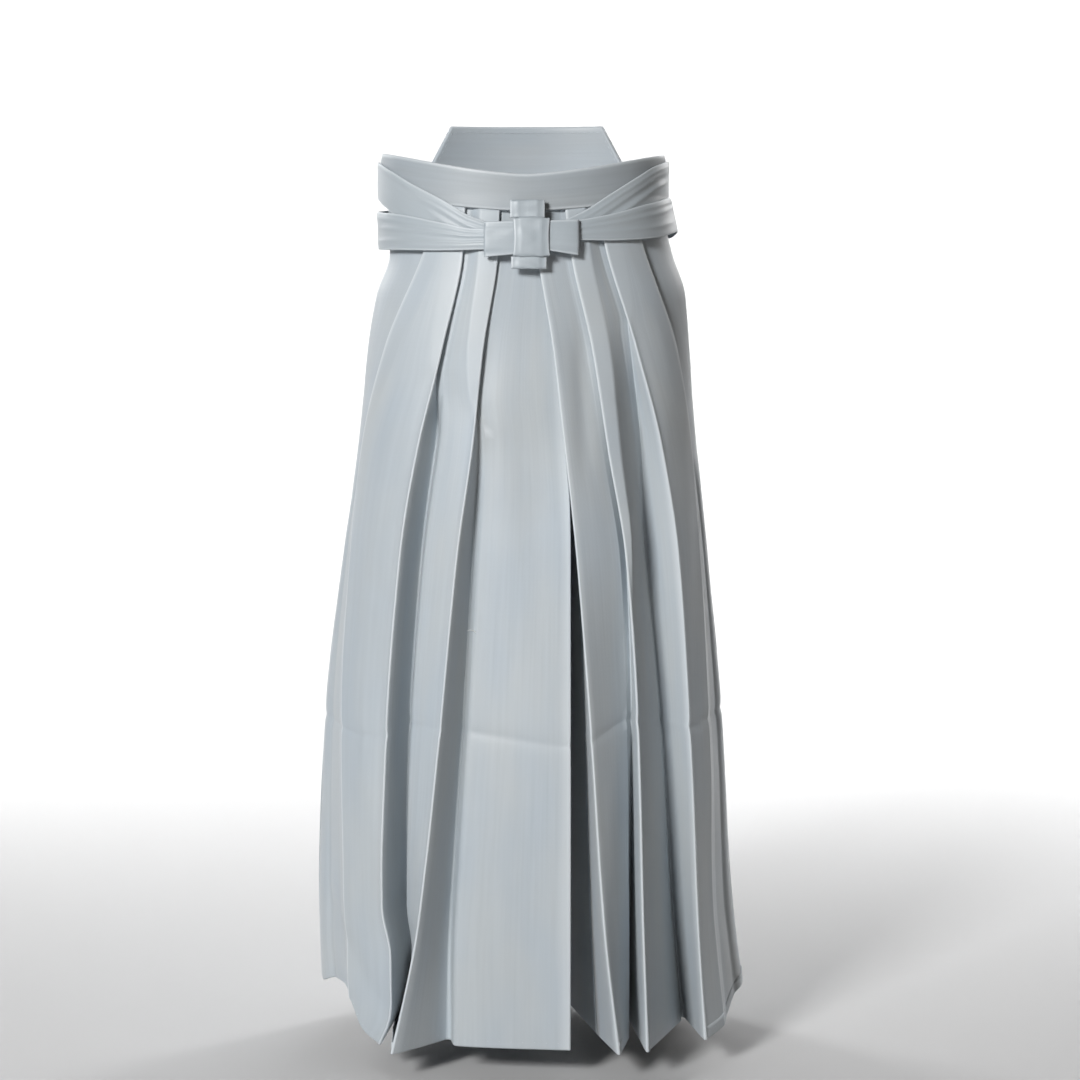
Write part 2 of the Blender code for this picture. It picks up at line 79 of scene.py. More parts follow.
# %% Smooth tables
def smooth(knots, values, at):
    """A cubic through the values whose slopes never overshoot them."""
    if at <= knots[0]:
        return values[0]
    if at >= knots[-1]:
        return values[-1]
    steps = []
    for i in range(len(knots) - 1):
        steps.append((values[i + 1] - values[i]) / (knots[i + 1] - knots[i]))
    slopes = [steps[0]]
    for before, after in zip(steps, steps[1:]):
        same_way = before * after > 0
        slopes.append(2 * before * after / (before + after) if same_way else 0.0)
    slopes.append(steps[-1])
    i = max(k for k in range(len(knots) - 1) if knots[k] <= at)
    span = knots[i + 1] - knots[i]
    t = (at - knots[i]) / span
    start = (1 + 2 * t) * (1 - t) ** 2 * values[i] + t * (1 - t) ** 2 * span * slopes[i]
    end = t * t * (3 - 2 * t) * values[i + 1] - t * t * (1 - t) * span * slopes[i + 1]
    return start + end


class Table:
    """Rows of millimetres under named columns, read smoothly by the first column."""

    def __init__(self, columns, *rows):
        self.columns = columns.split()
        self.rows = rows
        self.knots = [row[0] for row in rows]

    def __call__(self, column, at):
        place = self.columns.index(column)
        return smooth(self.knots, [row[place] for row in self.rows], at)

    def named(self):
        """Each row as a dictionary, for tables that aren't read smoothly."""
        return [dict(zip(self.columns, row)) for row in self.rows]


def ease(share):
    """0 to 1, with level ends."""
    share = max(0.0, min(1.0, share))
    return share * share * (3 - 2 * share)


# %% [markdown]
# ## The garment's measurements
# "below" is the distance down from the waist. The body's form is an oval, measured to each side, to
# the front and to the back. A pleat is a ridge, which is its fold edge, and a valley behind it: the
# valley lies "tuck" further out under the face, or in the open where tuck is negative.

# %% Measurements
LENGTH = 949.0
CROTCH = 345.0
SLIT_END = 320.0
CLOTH = 0.8
SEAM = 0.3
LAP = 1.9
BACK_LAP = 0.55
PRESSED_RADIUS = 1.1
HEM_RADIUS = 1.7
# The arc of a square fold stays this share of its radius inside the corner.
CORNER = 1 - math.sqrt(0.5)
UNDER = 4.8
EDGE_BEHIND = 3.0
EDGE_STEP = 5.0

BODY = Table(
    "below half_right half_left front back slit_front slit_back",
    (0, 165, 158, 115, 105, 31, 62),
    (65, 163, 174, 120, 113, 33, 56),
    (110, 177, 188, 124.5, 118.5, 29, 48),
    (170, 186, 191, 131, 126, 22, 36),
    (280, 194, 196, 142, 138, 6, 8),
    (320, 198, 200, 146, 142, 0.15, 0.15),
    (400, 210, 208, 152, 148, 0.15, 0.15),
    (600, 235, 227, 165, 162, 0.15, 0.15),
    (800, 243, 239, 177, 176, 0.15, 0.15),
    (950, 240, 254, 186, 186, 0.15, 0.15),
)
RIGHT_OUTER_PLEAT = Table(
    "below ridge tuck ahead depth",
    (0, 67, 12, 0, 3.2),
    (65, 70, 17, 0, 3.2),
    (170, 93, 8, 0, 8),
    (280, 119, -15, 2, 20),
    (400, 138, -18, 4, 34),
    (600, 153, -18, 6, 42),
    (790, 158, -20, 6, 56),
    (845, 149, -18, 5, 64),
    (890, 150, -16, 2, 72),
    (918, 154, -14, -2, 78),
    (950, 168, -12, -6, 84),
)
RIGHT_INNER_PLEAT = Table(
    "below ridge tuck ahead depth",
    (0, 29, 18, 0, 3.2),
    (65, 31, 18, 0, 3.2),
    (170, 47, 14, 0, 6),
    (280, 59, -5, 3, 12),
    (400, 75, -14, 6, 22),
    (600, 94, -21, 9, 34),
    (800, 115, -29, 12, 44),
    (950, 141, -52, 20, 62),
)
LEFT_OUTER_PLEAT = Table(
    "below ridge tuck ahead depth",
    (0, 78, 14, 0, 3.2),
    (65, 90, 15, 0, 3.2),
    (170, 123, -3, 0, 8),
    (280, 150, -17, 2, 20),
    (400, 167, -28, 4, 32),
    (600, 181, -22, 4, 42),
    (800, 190, -18, 4, 68),
    (950, 199, -12, 4, 100),
)
LEFT_MIDDLE_PLEAT = Table(
    "below ridge tuck ahead depth",
    (0, 43, 18, 0, 3.2),
    (65, 50, 18, 0, 3.2),
    (170, 73, 16, 0, 6),
    (280, 90, 10, 1, 12),
    (400, 110, 4, 2, 20),
    (600, 124, -3, 2, 38),
    (800, 129, -9, 3, 80),
    (950, 134, -15, 4, 120),
)
LEFT_INNER_RIDGE = Table(
    "below ridge ahead",
    (0, 7, 0),
    (65, 13, 0),
    (170, 30, 1),
    (280, 43, 3),
    (345, 50.4, 4),
    (400, 56, 4),
    (600, 72, 4),
    (800, 85, 5),
    (950, 102, 6),
)
BACK_PLEAT = Table(
    "below ridge tuck ahead depth",
    (0, 42, 16, 0, 3.2),
    (65, 44, 16, 0, 3.2),
    (170, 50, 14, 0, 5),
    (280, 58, 8, 1, 10),
    (400, 66, 2, 2, 18),
    (600, 80, -10, 3, 28),
    (800, 92, -16, 4, 36),
    (950, 100, -20, 5, 40),
)
RIGHT_SLIT_FOLD = Table(
    "below ridge tuck depth",
    (0, 97, 9, 3.2),
    (65, 115, 16, 3.2),
    (170, 159, 14, 3.2),
    (280, 186, 3, 3.2),
    (400, 200, -4, 4),
    (600, 210, -8, 5),
    (800, 207, -10, 6),
    (950, 200, -8, 10),
)
LEFT_SLIT_FOLD = Table(
    "below ridge tuck depth",
    (0, 114, 10, 3.2),
    (65, 133, 14, 3.2),
    (170, 169, 12, 3.2),
    (280, 187, 3, 3.2),
    (400, 198, -4, 4),
    (600, 208, -8, 5),
    (800, 214, -10, 6),
    (950, 226, -10, 8),
)
FRONT_EDGE = Table(
    "below edge behind strip turn apart",
    (0, 29, 12, 20, 0, 0),
    (65, 31, 11, 19, 5, 0),
    (170, 36, 11, 20, 25, 0),
    (280, 43, 14, 22, 55, 0),
    (345, 48, 15, 24, 85, 0),
    (400, 49, 13, 30, 90, 9),
    (600, 49, 11, 42, 95, 20),
    (800, 49, 14, 48, 100, 31),
    (950, 49, 18, 52, 104, 44),
)
BACK_EDGE = Table(
    "below edge strip",
    (0, BACK_LAP, 7),
    (65, BACK_LAP, 7),
    (170, BACK_LAP, 12),
    (280, BACK_LAP, 18),
    (345, BACK_LAP, 20),
    (400, 5, 28),
    (600, 12, 36),
    (800, 18, 40),
    (950, 22, 42),
)
# How far the hem rises towards each side, by the distance out from the middle.
HEM_RISE = Table(
    "out right left",
    (165, 0, 0),
    (185, 15, 0),
    (198, 44, 2),
    (208, 56, 4),
    (226, 52, 10),
    (240, 44, 30),
    (254, 44, 39),
)
hem_width = BODY("half_right", LENGTH) + BODY("half_left", LENGTH)
print("width at the hem:", round(hem_width), "mm, length:", LENGTH, "mm")

# %% [markdown]
# ## One level section of a leg
# Seen from above, a panel is one line that runs from the side to the middle, over each fold and back
# under it. A cloth simulation could find such folds, but pressed pleats are sharp and must fall where
# the maker pressed them, so the line is drawn: straight over the body's oval, with a small arc at each
# fold whose turning side is known.
#
# Where a pleat is closed, the face passes over its two hidden layers. Where it has opened, its valley
# lies deep behind it, and the next face comes out of that valley over a soft shoulder.

# %% The body's oval
SQUARE_IN = 7.0


def half_width(side, below):
    return BODY("half_right" if side < 0 else "half_left", below)


def power(below):
    return 2.3 + 0.6 * below / LENGTH


def oval(out, half, deep, below):
    """How far the body's oval stands towards the face, at this distance out from the middle."""
    share = min(abs(out) / half, 1.0)
    return deep * math.sqrt(max(0.0, 1 - share ** power(below)))


def oval_point(out, half, deep, below, behind):
    """A point of the oval moved in by "behind": square to it past the layers, then straight back."""
    step = 0.5
    at = Vector((out, oval(out, half, deep, below)))
    along = Vector((out + step, oval(out + step, half, deep, below)))
    along -= Vector((out - step, oval(out - step, half, deep, below)))
    along.normalize()
    inward = Vector((along.y, -along.x))
    if inward.y > 0:
        inward = -inward
    near = min(behind, SQUARE_IN)
    return at + inward * near + Vector((0, -1)) * (behind - near)


# %% Folds and faces
ARC_STEPS = 6
SHORTEST_ARC = 1.6
LEAST_TURN = 0.1
FACE_POINTS = 4


def fold_arc(before, tip, after, radius, way):
    """Points round a fold whose extreme is the tip. It turns left where way is 1, right where it is -1.

    A fold that hardly turns gets a wide arc, so that its points never crowd together.
    """
    into = math.atan2(tip.y - before.y, tip.x - before.x)
    out_of = math.atan2(after.y - tip.y, after.x - tip.x)
    turn = (way * (out_of - into)) % math.tau
    if turn > 1.5 * math.pi or turn < LEAST_TURN:
        turn = LEAST_TURN
    radius = max(radius, SHORTEST_ARC / turn)
    middle = into + way * turn / 2
    centre = tip + way * radius * Vector((-math.sin(middle), math.cos(middle)))
    points = []
    for step in range(ARC_STEPS + 1):
        angle = into + way * turn * step / ARC_STEPS
        points.append(centre - way * radius * Vector((-math.sin(angle), math.cos(angle))))
    return points


def folded_line(stops, surface):
    """Joins the stops: each is (point, turning way or 0, radius, stretches to the next).

    Returns the points and, for each, how much it lies on a pressed fold. The points between keep to
    the surface, whose distance to them changes evenly along the face.
    """
    line, pressed = [], []
    for i, (point, way, radius, _) in enumerate(stops):
        bends = [point]
        if way:
            bends = fold_arc(stops[i - 1][0], point, stops[i + 1][0], radius, way)
        if i > 0:
            between = FACE_POINTS * (stops[i - 1][3] + 1)
            start, end = line[-1], bends[0]
            start_behind, end_behind = surface(start.x) - start.y, surface(end.x) - end.y
            for k in range(between):
                share = (k + 1) / (between + 1)
                out = start.x + (end.x - start.x) * share
                behind = start_behind + (end_behind - start_behind) * share
                line.append(Vector((out, surface(out) - behind)))
                pressed.append(0.0)
        line.extend(bends)
        # Points on a pressed fold are marked, and the material paints a highlight there.
        sharp = way > 0 and PRESSED_RADIUS <= radius <= HEM_RADIUS
        pressed.extend([1.0 if sharp else 0.0] * len(bends))
    return line, pressed


# %% The sections of the six panels
OVER_LAYERS = 1.6
BESIDE_FOLD = 4.0
PAST_FOLD = 3.0
CLOSED_TUCK = 6.0
UNDER_MORE = 4.0
VALLEY_ROUNDER = 0.05
DEEPER = 14.0
DEEP_TUCK = 12.0
SHOULDER_AT = 9.0
SHOULDER_SHARE = 0.3
SHOULDER_RADIUS = 8.0
SHOULDER_TUCK = 10.0
LEAST_RADIUS = 0.1
HEM_FOLDS_FROM = 890.0
HEM_FOLDS_OVER = 50.0


def radius_at(below):
    """Pressed folds are sharp, and a little rounder where the turned-up hem doubles the cloth."""
    return PRESSED_RADIUS + (HEM_RADIUS - PRESSED_RADIUS) * ease((below - HEM_FOLDS_FROM) / HEM_FOLDS_OVER)


def panel_line(side, below, deep, slit, slit_fold, pleats, ends):
    """A panel's level section in the leg's frame, from its side edge to the middle."""
    half = half_width(side, below)
    radius = radius_at(below)
    gap = BODY(slit, below)
    deep_mm = BODY(deep, below)
    edge_behind = EDGE_BEHIND * max(0.0, min(1.0, (SLIT_END - below) / 100)) if slit_fold else 0.0

    def side_out(face):
        return half * (1 - (face / deep_mm) ** 2) ** (1 / power(below)) - edge_behind

    stops = [(Vector((side_out(gap), gap)), 0, 0, 0)]
    beside = Vector((side_out(gap + EDGE_STEP), gap + EDGE_STEP))
    stops.append((beside, 0, 0, 0 if slit_fold else 2))
    if slit_fold:
        ridge, tuck, depth = (slit_fold(name, below) for name in ("ridge", "tuck", "depth"))
        valley = oval_point(ridge - tuck, half, deep_mm, below, depth)
        fold = oval_point(ridge, half, deep_mm, below, 0)
        layered = ease(tuck / CLOSED_TUCK)
        under = oval_point(ridge + PAST_FOLD, half, deep_mm, below, UNDER)
        strip = (beside + valley) / 2 * (1 - layered) + under * layered
        stops.append((strip, 0, 0, 0))
        stops.append((valley, -1, radius, 0))
        stops.append((fold, 1, radius, 0))
        past = ridge - max(tuck, 0) - PAST_FOLD
        stops.append((oval_point(past, half, deep_mm, below, -OVER_LAYERS * layered), 0, 0, 1))
    folds = []
    for pleat, full in pleats:
        ridge, tuck, ahead, depth = (pleat(name, below) for name in ("ridge", "tuck", "ahead", "depth"))
        depth += DEEPER * ease(-tuck / DEEP_TUCK)
        tip = oval_point(ridge, half, deep_mm, below, -ahead)
        valley = oval_point(ridge + tuck, half, deep_mm, below, depth - ahead)
        folds.append((ridge, tuck, ahead, full, tip, valley))
    under_more = UNDER + UNDER_MORE * ease((below - 110) / 80)
    after = [fold[4] for fold in folds[1:]] + [ends[0][0]]
    for (ridge, tuck, ahead, full, tip, valley), following in zip(folds, after):
        hidden = ease(tuck / CLOSED_TUCK)
        before = stops[-1][0]
        near = tip + (before - tip).normalized() * BESIDE_FOLD
        over = oval_point(ridge + tuck + PAST_FOLD, half, deep_mm, below, -OVER_LAYERS - ahead)
        stops.append((near + (over - near) * hidden, 0, 0, 1))
        stops.append((tip, 1, radius, 0))
        stops.append((valley, -1, radius + VALLEY_ROUNDER * max(0.0, -tuck), 0))
        under = oval_point(ridge - BESIDE_FOLD, half, deep_mm, below, under_more - ahead)
        across = following - valley
        share = min(SHOULDER_SHARE, SHOULDER_AT / across.length)
        opens = ease(-tuck / SHOULDER_TUCK)
        opened = valley + across * share + Vector((0, opens * full * across.y * (1 - share)))
        shoulder = opened + (under - opened) * hidden
        stops.append((shoulder, 1, SHOULDER_RADIUS * opens + LEAST_RADIUS, 1))
    stops.extend(ends)
    return folded_line(stops, lambda out: oval(out, half, deep_mm, below))


def right_inner_seam(below):
    """The right leg's front fold beyond the middle, and the inner seam that its strip ends at."""
    half = half_width(-1, below)
    edge, behind, strip, turn = (FRONT_EDGE(name, below) for name in ("edge", "behind", "strip", "turn"))
    fold = Vector((-edge, oval(-edge, half, BODY("front", below), below) - behind))
    angle = math.radians(turn)
    return fold, fold + strip * Vector((-math.cos(angle), -math.sin(angle)))


def left_inner_seam(below):
    """The left leg's inner seam in that leg's frame: lapped on the right leg's above the crotch."""
    _, seam = right_inner_seam(below)
    angle = math.radians(FRONT_EDGE("turn", below))
    away = LAP + FRONT_EDGE("apart", below)
    moved = seam + away * Vector((-math.sin(angle), math.cos(angle)))
    return Vector((-moved.x, moved.y))


def back_inner_seam(side, below):
    half = half_width(side, below)
    edge = BACK_EDGE("edge", below)
    deep = oval(edge, half, BODY("back", below), below)
    fold = Vector((edge + CORNER * PRESSED_RADIUS, deep - CORNER * PRESSED_RADIUS))
    return fold, Vector((edge, deep - BACK_EDGE("strip", below)))


def front_right_line(below):
    fold, seam = right_inner_seam(below)
    ends = [(fold, 1, radius_at(below), 0), (seam, 0, 0, 0)]
    pleats = ((RIGHT_OUTER_PLEAT, 0.5), (RIGHT_INNER_PLEAT, 0.55))
    return panel_line(-1, below, "front", "slit_front", RIGHT_SLIT_FOLD, pleats, ends)


def front_left_line(below):
    half = half_width(1, below)
    ridge, ahead = LEFT_INNER_RIDGE("ridge", below), LEFT_INNER_RIDGE("ahead", below)
    tip = oval_point(ridge, half, BODY("front", below), below, -ahead)
    ends = [(tip, 1, radius_at(below), 0), (left_inner_seam(below), 0, 0, 0)]
    pleats = ((LEFT_OUTER_PLEAT, 0.05), (LEFT_MIDDLE_PLEAT, 0.5))
    return panel_line(1, below, "front", "slit_front", LEFT_SLIT_FOLD, pleats, ends)


def back_line(side, below):
    fold, seam = back_inner_seam(side, below)
    ends = [(fold, 1, PRESSED_RADIUS, 0), (seam, 0, 0, 0)]
    return panel_line(side, below, "back", "slit_back", None, ((BACK_PLEAT, 0.5),), ends)


def gusset_line(side, below):
    """The inner side of a leg, from its front seam to its back seam, in the leg's frame."""
    front = right_inner_seam(below)[1] if side < 0 else left_inner_seam(below)
    back = back_inner_seam(side, below)[1]
    back = Vector((back.x, -back.y))
    way = (back - front).normalized()
    start, end = front + way * SEAM, back - way * SEAM
    steps = 24
    points = []
    for k in range(steps + 1):
        points.append(start + (end - start) * k / steps)
    return points, [0.0] * len(points)


print("points in a front section:", len(front_right_line(500)[0]))

# %% [markdown]
# ## Creases
# Silk keeps the marks of how it was folded away: a sharp line across the knees from the drawer, soft
# troughs where the wearer moves, and slow waves between the pleats. Each crease is a short line on
# the front or back, as seen square on, with a width and a depth; all the layers at that place move
# together, so none crosses another.

# %% Creases
KNEE_LINE = Table(
    "x z",
    (-230, -596),
    (-170, -603),
    (-124, -588),
    (-29, -600),
    (49, -609),
    (124, -583),
    (172, -594),
    (230, -588),
)
KNEE_DEPTH = 2.0
KNEE_WIDTH = 6.0
FRONT_CREASES = Table(
    "x_top z_top x_foot z_foot width depth",
    (-170, -428, -152, -452, 9, -1.6),
    (-192, -505, -176, -648, 14, 1.8),
    (-176, -640, -159, -765, 13, 1.6),
    (-228, -800, -200, -848, 10, -2.2),
    (-202, -846, -156, -912, 12, -2.4),
    (-120, -700, -108, -830, 11, 1.2),
    (192, -335, 193, -655, 7, -1.3),
    (98, -228, 119, -232, 5, -1.4),
    (59, -150, 66, -300, 9, -2.8),
    (-30, -150, -22, -420, 16, 1.4),
    (12, -250, 18, -520, 20, -1.3),
    (-66, -660, -60, -900, 18, 1.3),
    (20, -680, 14, -930, 18, -1.2),
    (226, -420, 232, -600, 12, 1.5),
    (205, -700, 216, -880, 12, -1.8),
    (222, -830, 236, -905, 9, 1.8),
    (96, -640, 92, -800, 9, 1.2),
)
BACK_CREASES = Table(
    "x_top z_top x_foot z_foot width depth",
    (-190, -430, -168, -470, 10, -1.8),
    (-202, -520, -190, -690, 15, 1.9),
    (-214, -790, -176, -880, 12, -2.3),
    (-140, -300, -150, -520, 18, 1.6),
    (-132, -650, -138, -880, 16, -1.6),
    (-40, -420, -46, -640, 14, 1.3),
    (38, -360, 42, -560, 13, -1.3),
    (146, -280, 160, -540, 18, 1.7),
    (150, -620, 158, -860, 15, -1.6),
    (214, -500, 205, -700, 12, 1.6),
    (222, -780, 190, -876, 12, -2.2),
    (60, -700, 56, -900, 15, 1.2),
)
WAVE_DEPTH = 1.5


def crease_at(x, z, creases):
    """How far the cloth stands out at this place of the front or back, in mm."""
    moved = 0.0
    for row in creases.named():
        start = Vector((row["x_top"], row["z_top"]))
        run = Vector((row["x_foot"], row["z_foot"])) - start
        at = Vector((x, z)) - start
        share = at.dot(run) / run.length_squared
        if not -0.3 < share < 1.3:
            continue
        across = (at - run * share).length
        if across > 3 * row["width"]:
            continue
        ends = ease((share + 0.3) / 0.6) * ease((1.3 - share) / 0.6)
        moved += row["depth"] * ends * math.exp(-((across / row["width"]) ** 2))
    return moved


def cloth_moves(x, z, creases, seed):
    """Creases, the fold line at the knee and slow waves, faded out near the waist."""
    knee = -KNEE_DEPTH * math.exp(-abs(z - KNEE_LINE("z", x)) / KNEE_WIDTH)
    wave = noise.noise(Vector((x / 70, z / 240, seed))) * WAVE_DEPTH
    ripple = noise.noise(Vector((x / 22, z / 120, seed + 5))) * WAVE_DEPTH * 0.25
    return (crease_at(x, z, creases) + knee + wave + ripple) * ease((-z - 70) / 160)


print("creases:", len(FRONT_CREASES.rows), "in front and", len(BACK_CREASES.rows), "behind")

# %% [markdown]
# ## From sections to panels
# A stack of sections is a loft. Its rows lie closer together at the knee line and at the hem, where
# the surface changes fastest. The hem is turned up inside by a finger's width, as a tailor does, so
# its edge is a round fold and not a cut. Every vertex also gets its place on the flat cloth as a UV,
# in metres, so that the threads can follow the cloth round its folds.

# %% Panel grids
ROW_STEP = 9.0
HEM_UP = 13.0
HEM_IN = 1.0


def panel_rows(top):
    rows = []
    below = float(top)
    while below < LENGTH - 3:
        rows.append(below)
        fine = 575 < below < 620 or below > 925
        below += ROW_STEP / 3 if fine else ROW_STEP
    return rows + [LENGTH - 1.0, LENGTH]


def height(out, side, below, top):
    """The height of a panel's point: the top follows the band, and the hem rises at the sides."""
    near_top = max(0.0, 1 - below / 120) ** 2
    rise = HEM_RISE("right" if side < 0 else "left", abs(out)) * (below / LENGTH) ** 10
    return -min(below, LENGTH) + near_top * top(out) + rise


def inward_at(line, j):
    """The wrong side's direction at a point of a section that runs from the side to the middle."""
    before, after = line[max(j - 1, 0)], line[min(j + 1, len(line) - 1)]
    along = (after - before).normalized()
    return Vector((-along.y, along.x))


def hem_turn(row_points, inwards):
    """Rows that carry on from the hem: round its fold and up the inside."""
    turned = []
    steps = ((0.5, -0.5), (1, 0), (1, HEM_UP / 2), (1, HEM_UP))
    for inside, up in steps:
        row = []
        for point, inward in zip(row_points, inwards):
            row.append(point + (inward * inside * HEM_IN + Vector((0, 0, up))) * MM)
        turned.append(row)
    return turned


def panel_grid(side, line, facing, top, first_row, creases, seed):
    """Rows of points in metres, and each column's share of a pressed fold."""
    grid, pressed, inwards = [], [], []
    for below in panel_rows(first_row):
        points, on_fold = line(below)
        row, inwards = [], []
        for j, point in enumerate(points):
            z = height(point.x, side, below, top)
            away = Vector((point.x / half_width(side, below), max(point.y, 1.0) / BODY("front", below)))
            away.normalize()
            moved = cloth_moves(side * point.x, z, creases, seed) if creases else 0.0
            x, y = point.x + away.x * moved, point.y + away.y * moved
            row.append(Vector((side * x, facing * y, z)) * MM)
            inward = inward_at(points, j)
            inwards.append(Vector((side * inward.x, facing * inward.y, 0)))
        grid.append(row)
        pressed.append(on_fold)
    hem = hem_turn(grid[-1], inwards)
    grid.extend(hem)
    pressed.extend([pressed[-1]] * len(hem))
    return grid, pressed


# %% Grids to meshes
def flat_places(grid):
    """Each point's place on the flat cloth, in metres: across on the widest row, and down the rows."""
    widest = max(grid, key=lambda row: sum((b - a).length for a, b in zip(row, row[1:])))
    across = [0.0]
    for a, b in zip(widest, widest[1:]):
        across.append(across[-1] + (b - a).length)
    down = [0.0]
    middle = len(grid[0]) // 2
    for above, below in zip(grid, grid[1:]):
        down.append(down[-1] + (below[middle] - above[middle]).length)
    return across, down


def cloth_area(grid):
    """The area of the grid in square metres."""
    area = 0.0
    for above, below in zip(grid, grid[1:]):
        for j in range(len(above) - 1):
            a, b, c, d = above[j], above[j + 1], below[j + 1], below[j]
            area += ((b - a).cross(d - a).length + (b - c).cross(d - c).length) / 2
    return area


def mesh_object(name, points, faces, places, pressed, turned=0.0):
    """A smooth-shaded object with its flat places as UVs, its pressed folds, which take a painted
    highlight, and its share of painted shade.
    """
    mesh = bpy.data.meshes.new(name)
    mesh.from_pydata(points, [], faces)
    uvs = mesh.uv_layers.new(name="flat")
    for loop in mesh.loops:
        uvs.data[loop.index].uv = places[loop.vertex_index]
    # pressed marks where a painted highlight goes; turned is the share of painted shade, 1 on the band.
    attribute = mesh.attributes.new("pressed", "FLOAT", "POINT")
    attribute.data.foreach_set("value", pressed)
    attribute = mesh.attributes.new("turned", "FLOAT", "POINT")
    attribute.data.foreach_set("value", [turned] * len(points))
    mesh.shade_smooth()
    made = bpy.data.objects.new(name, mesh)
    bpy.context.scene.collection.objects.link(made)
    return made


def cloth_panel(name, grid, pressed):
    """A thin cloth wall on the grid, half its thickness to each side."""
    across = len(grid[0])
    points = [point for row in grid for point in row]
    faces = []
    for i in range(len(grid) - 1):
        for j in range(across - 1):
            corner = i * across + j
            faces.append((corner, corner + 1, corner + across + 1, corner + across))
    out, down = flat_places(grid)
    places = [(out[j], down[i]) for i in range(len(grid)) for j in range(across)]
    made = mesh_object(name, points, faces, places, [share for row in pressed for share in row])
    shell = made.modifiers.new("thickness", "SOLIDIFY")
    shell.thickness = CLOTH * MM
    shell.offset = 0
    return made


# %% [markdown]
# ## The six panels
# The two fronts carry the pleats: on the wearer's right leg the innermost face is the wide plain
# centre, which laps over the left leg. The backs have one pleat each. A narrow gusset closes the
# inside of each leg below the crotch.

# %% Build the panels
BAND_LOW = -18.0
BAND_HIGH = 20.0


def band_low(out):
    return BAND_LOW * (1 - min(abs(out) / 160, 1.0) ** 1.6)


def band_high(out):
    return BAND_HIGH + 27.0 * min(abs(out) / 160, 1.0) ** 1.5


def under_band(out):
    return band_low(out) + 2


def under_board(out):
    return 2.0


def right_back_line(below):
    return back_line(-1, below)


def left_back_line(below):
    return back_line(1, below)


def right_gusset_line(below):
    return gusset_line(-1, below)


def left_gusset_line(below):
    return gusset_line(1, below)


PANELS = (
    ("front_right", -1, front_right_line, -1, under_band, 0, FRONT_CREASES, 1.7),
    ("front_left", 1, front_left_line, -1, under_band, 0, FRONT_CREASES, 1.7),
    ("back_right", -1, right_back_line, 1, under_board, 0, BACK_CREASES, 8.3),
    ("back_left", 1, left_back_line, 1, under_board, 0, BACK_CREASES, 8.3),
    ("gusset_right", -1, right_gusset_line, -1, under_board, CROTCH, None, 0),
    ("gusset_left", 1, left_gusset_line, -1, under_board, CROTCH, None, 0),
)
pieces = {}
flat_sizes = {}


def keep_piece(piece, node, grid, held):
    """Notes which node the piece stands for, and the flat size of its cloth."""
    across, down = flat_places(grid)
    pieces[node] = piece
    flat_sizes[node] = (across[-1], down[-1], cloth_area(grid), held)
    print(f"{node}: {across[-1]:.3f} x {down[-1]:.3f} m flat, {flat_sizes[node][2]:.3f} m2")


panel_grids = {}
for node, side, line, facing, top, first_row, creases, seed in PANELS:
    grid, pressed = panel_grid(side, line, facing, top, first_row, creases, seed)
    panel_grids[node] = (grid, side * facing)
    keep_piece(cloth_panel(node + "_cloth", grid, pressed), node, grid, "hung")

# %% [markdown]
# ## Folded ribbons
# The band, the ties, the knot and the board are all cloth folded round itself: flat, a few
# millimetres thick, with round folded edges. One helper makes them. It takes rows of points across
# the ribbon, works out which way each point faces, and closes a thin rounded section round them. A
# "lift" raises the outer face alone, for the soft ridges of gathered silk.

# %% The ribbon helper
EDGE_STEPS = 4


def facing_at(grid, i, j):
    """The unit direction that the ribbon faces, and the unit direction across it, at a grid point."""
    ahead, behind = grid[min(i + 1, len(grid) - 1)][j], grid[max(i - 1, 0)][j]
    high, low = grid[i][min(j + 1, len(grid[i]) - 1)], grid[i][max(j - 1, 0)]
    across = (high - low).normalized()
    return (ahead - behind).cross(high - low).normalized(), across


def ribbon_section(grid, i, half, lift):
    """One closed section of the ribbon: its outer face, an edge, its inner face and the other edge."""
    count = len(grid[i])
    outer, inner = [], []
    frames = [facing_at(grid, i, j) for j in range(count)]
    for j in range(count):
        outward = frames[j][0]
        raised = lift(i / (len(grid) - 1), j / (count - 1)) * MM if lift else 0.0
        outer.append(grid[i][j] + outward * (half + raised))
        inner.append(grid[i][j] - outward * half)
    section = list(outer)
    section.extend(ribbon_edge(grid[i][-1], frames[-1], half, 1))
    section.extend(reversed(inner))
    section.extend(reversed(ribbon_edge(grid[i][0], frames[0], half, -1)))
    return section


def ribbon_edge(point, frame_here, half, way):
    """The half circle past an edge of the ribbon, from its outer face to its inner one."""
    outward, across = frame_here
    points = []
    for k in range(1, EDGE_STEPS):
        angle = math.pi * k / EDGE_STEPS
        points.append(point + outward * (half * math.cos(angle)) + across * (way * half * math.sin(angle)))
    return points


def ribbon(name, grid, thickness, lift=None, turned=0.0):
    """A folded ribbon of this thickness in mm round the grid, whose rows run across it."""
    half = thickness * MM / 2
    sections = [ribbon_section(grid, i, half, lift) for i in range(len(grid))]
    around_count = len(sections[0])
    points = [point for section in sections for point in section]
    faces = []
    for i in range(len(sections) - 1):
        for j in range(around_count):
            following = (j + 1) % around_count
            low, high = i * around_count, (i + 1) * around_count
            faces.append((low + j, high + j, high + following, low + following))
    faces.append(tuple(range(around_count)))
    last = (len(sections) - 1) * around_count
    faces.append(tuple(last + j for j in reversed(range(around_count))))
    along = [0.0]
    middle = len(grid[0]) // 2
    for before, after in zip(grid, grid[1:]):
        along.append(along[-1] + (after[middle] - before[middle]).length)
    width = (grid[0][-1] - grid[0][0]).length
    places, pressed = [], []
    count = len(grid[0])
    for i in range(len(sections)):
        for j in range(around_count):
            across = j if j < count else max(0, 2 * count + EDGE_STEPS - 2 - j)
            places.append((width * min(across, count - 1) / (count - 1), along[i]))
            # The ribbon's folded edges are marked for the painted highlight.
            pressed.append(1.0 if j in (0, count - 1) or count <= j < count + EDGE_STEPS - 1 else 0.0)
    return mesh_object(name, points, faces, places, pressed, turned)


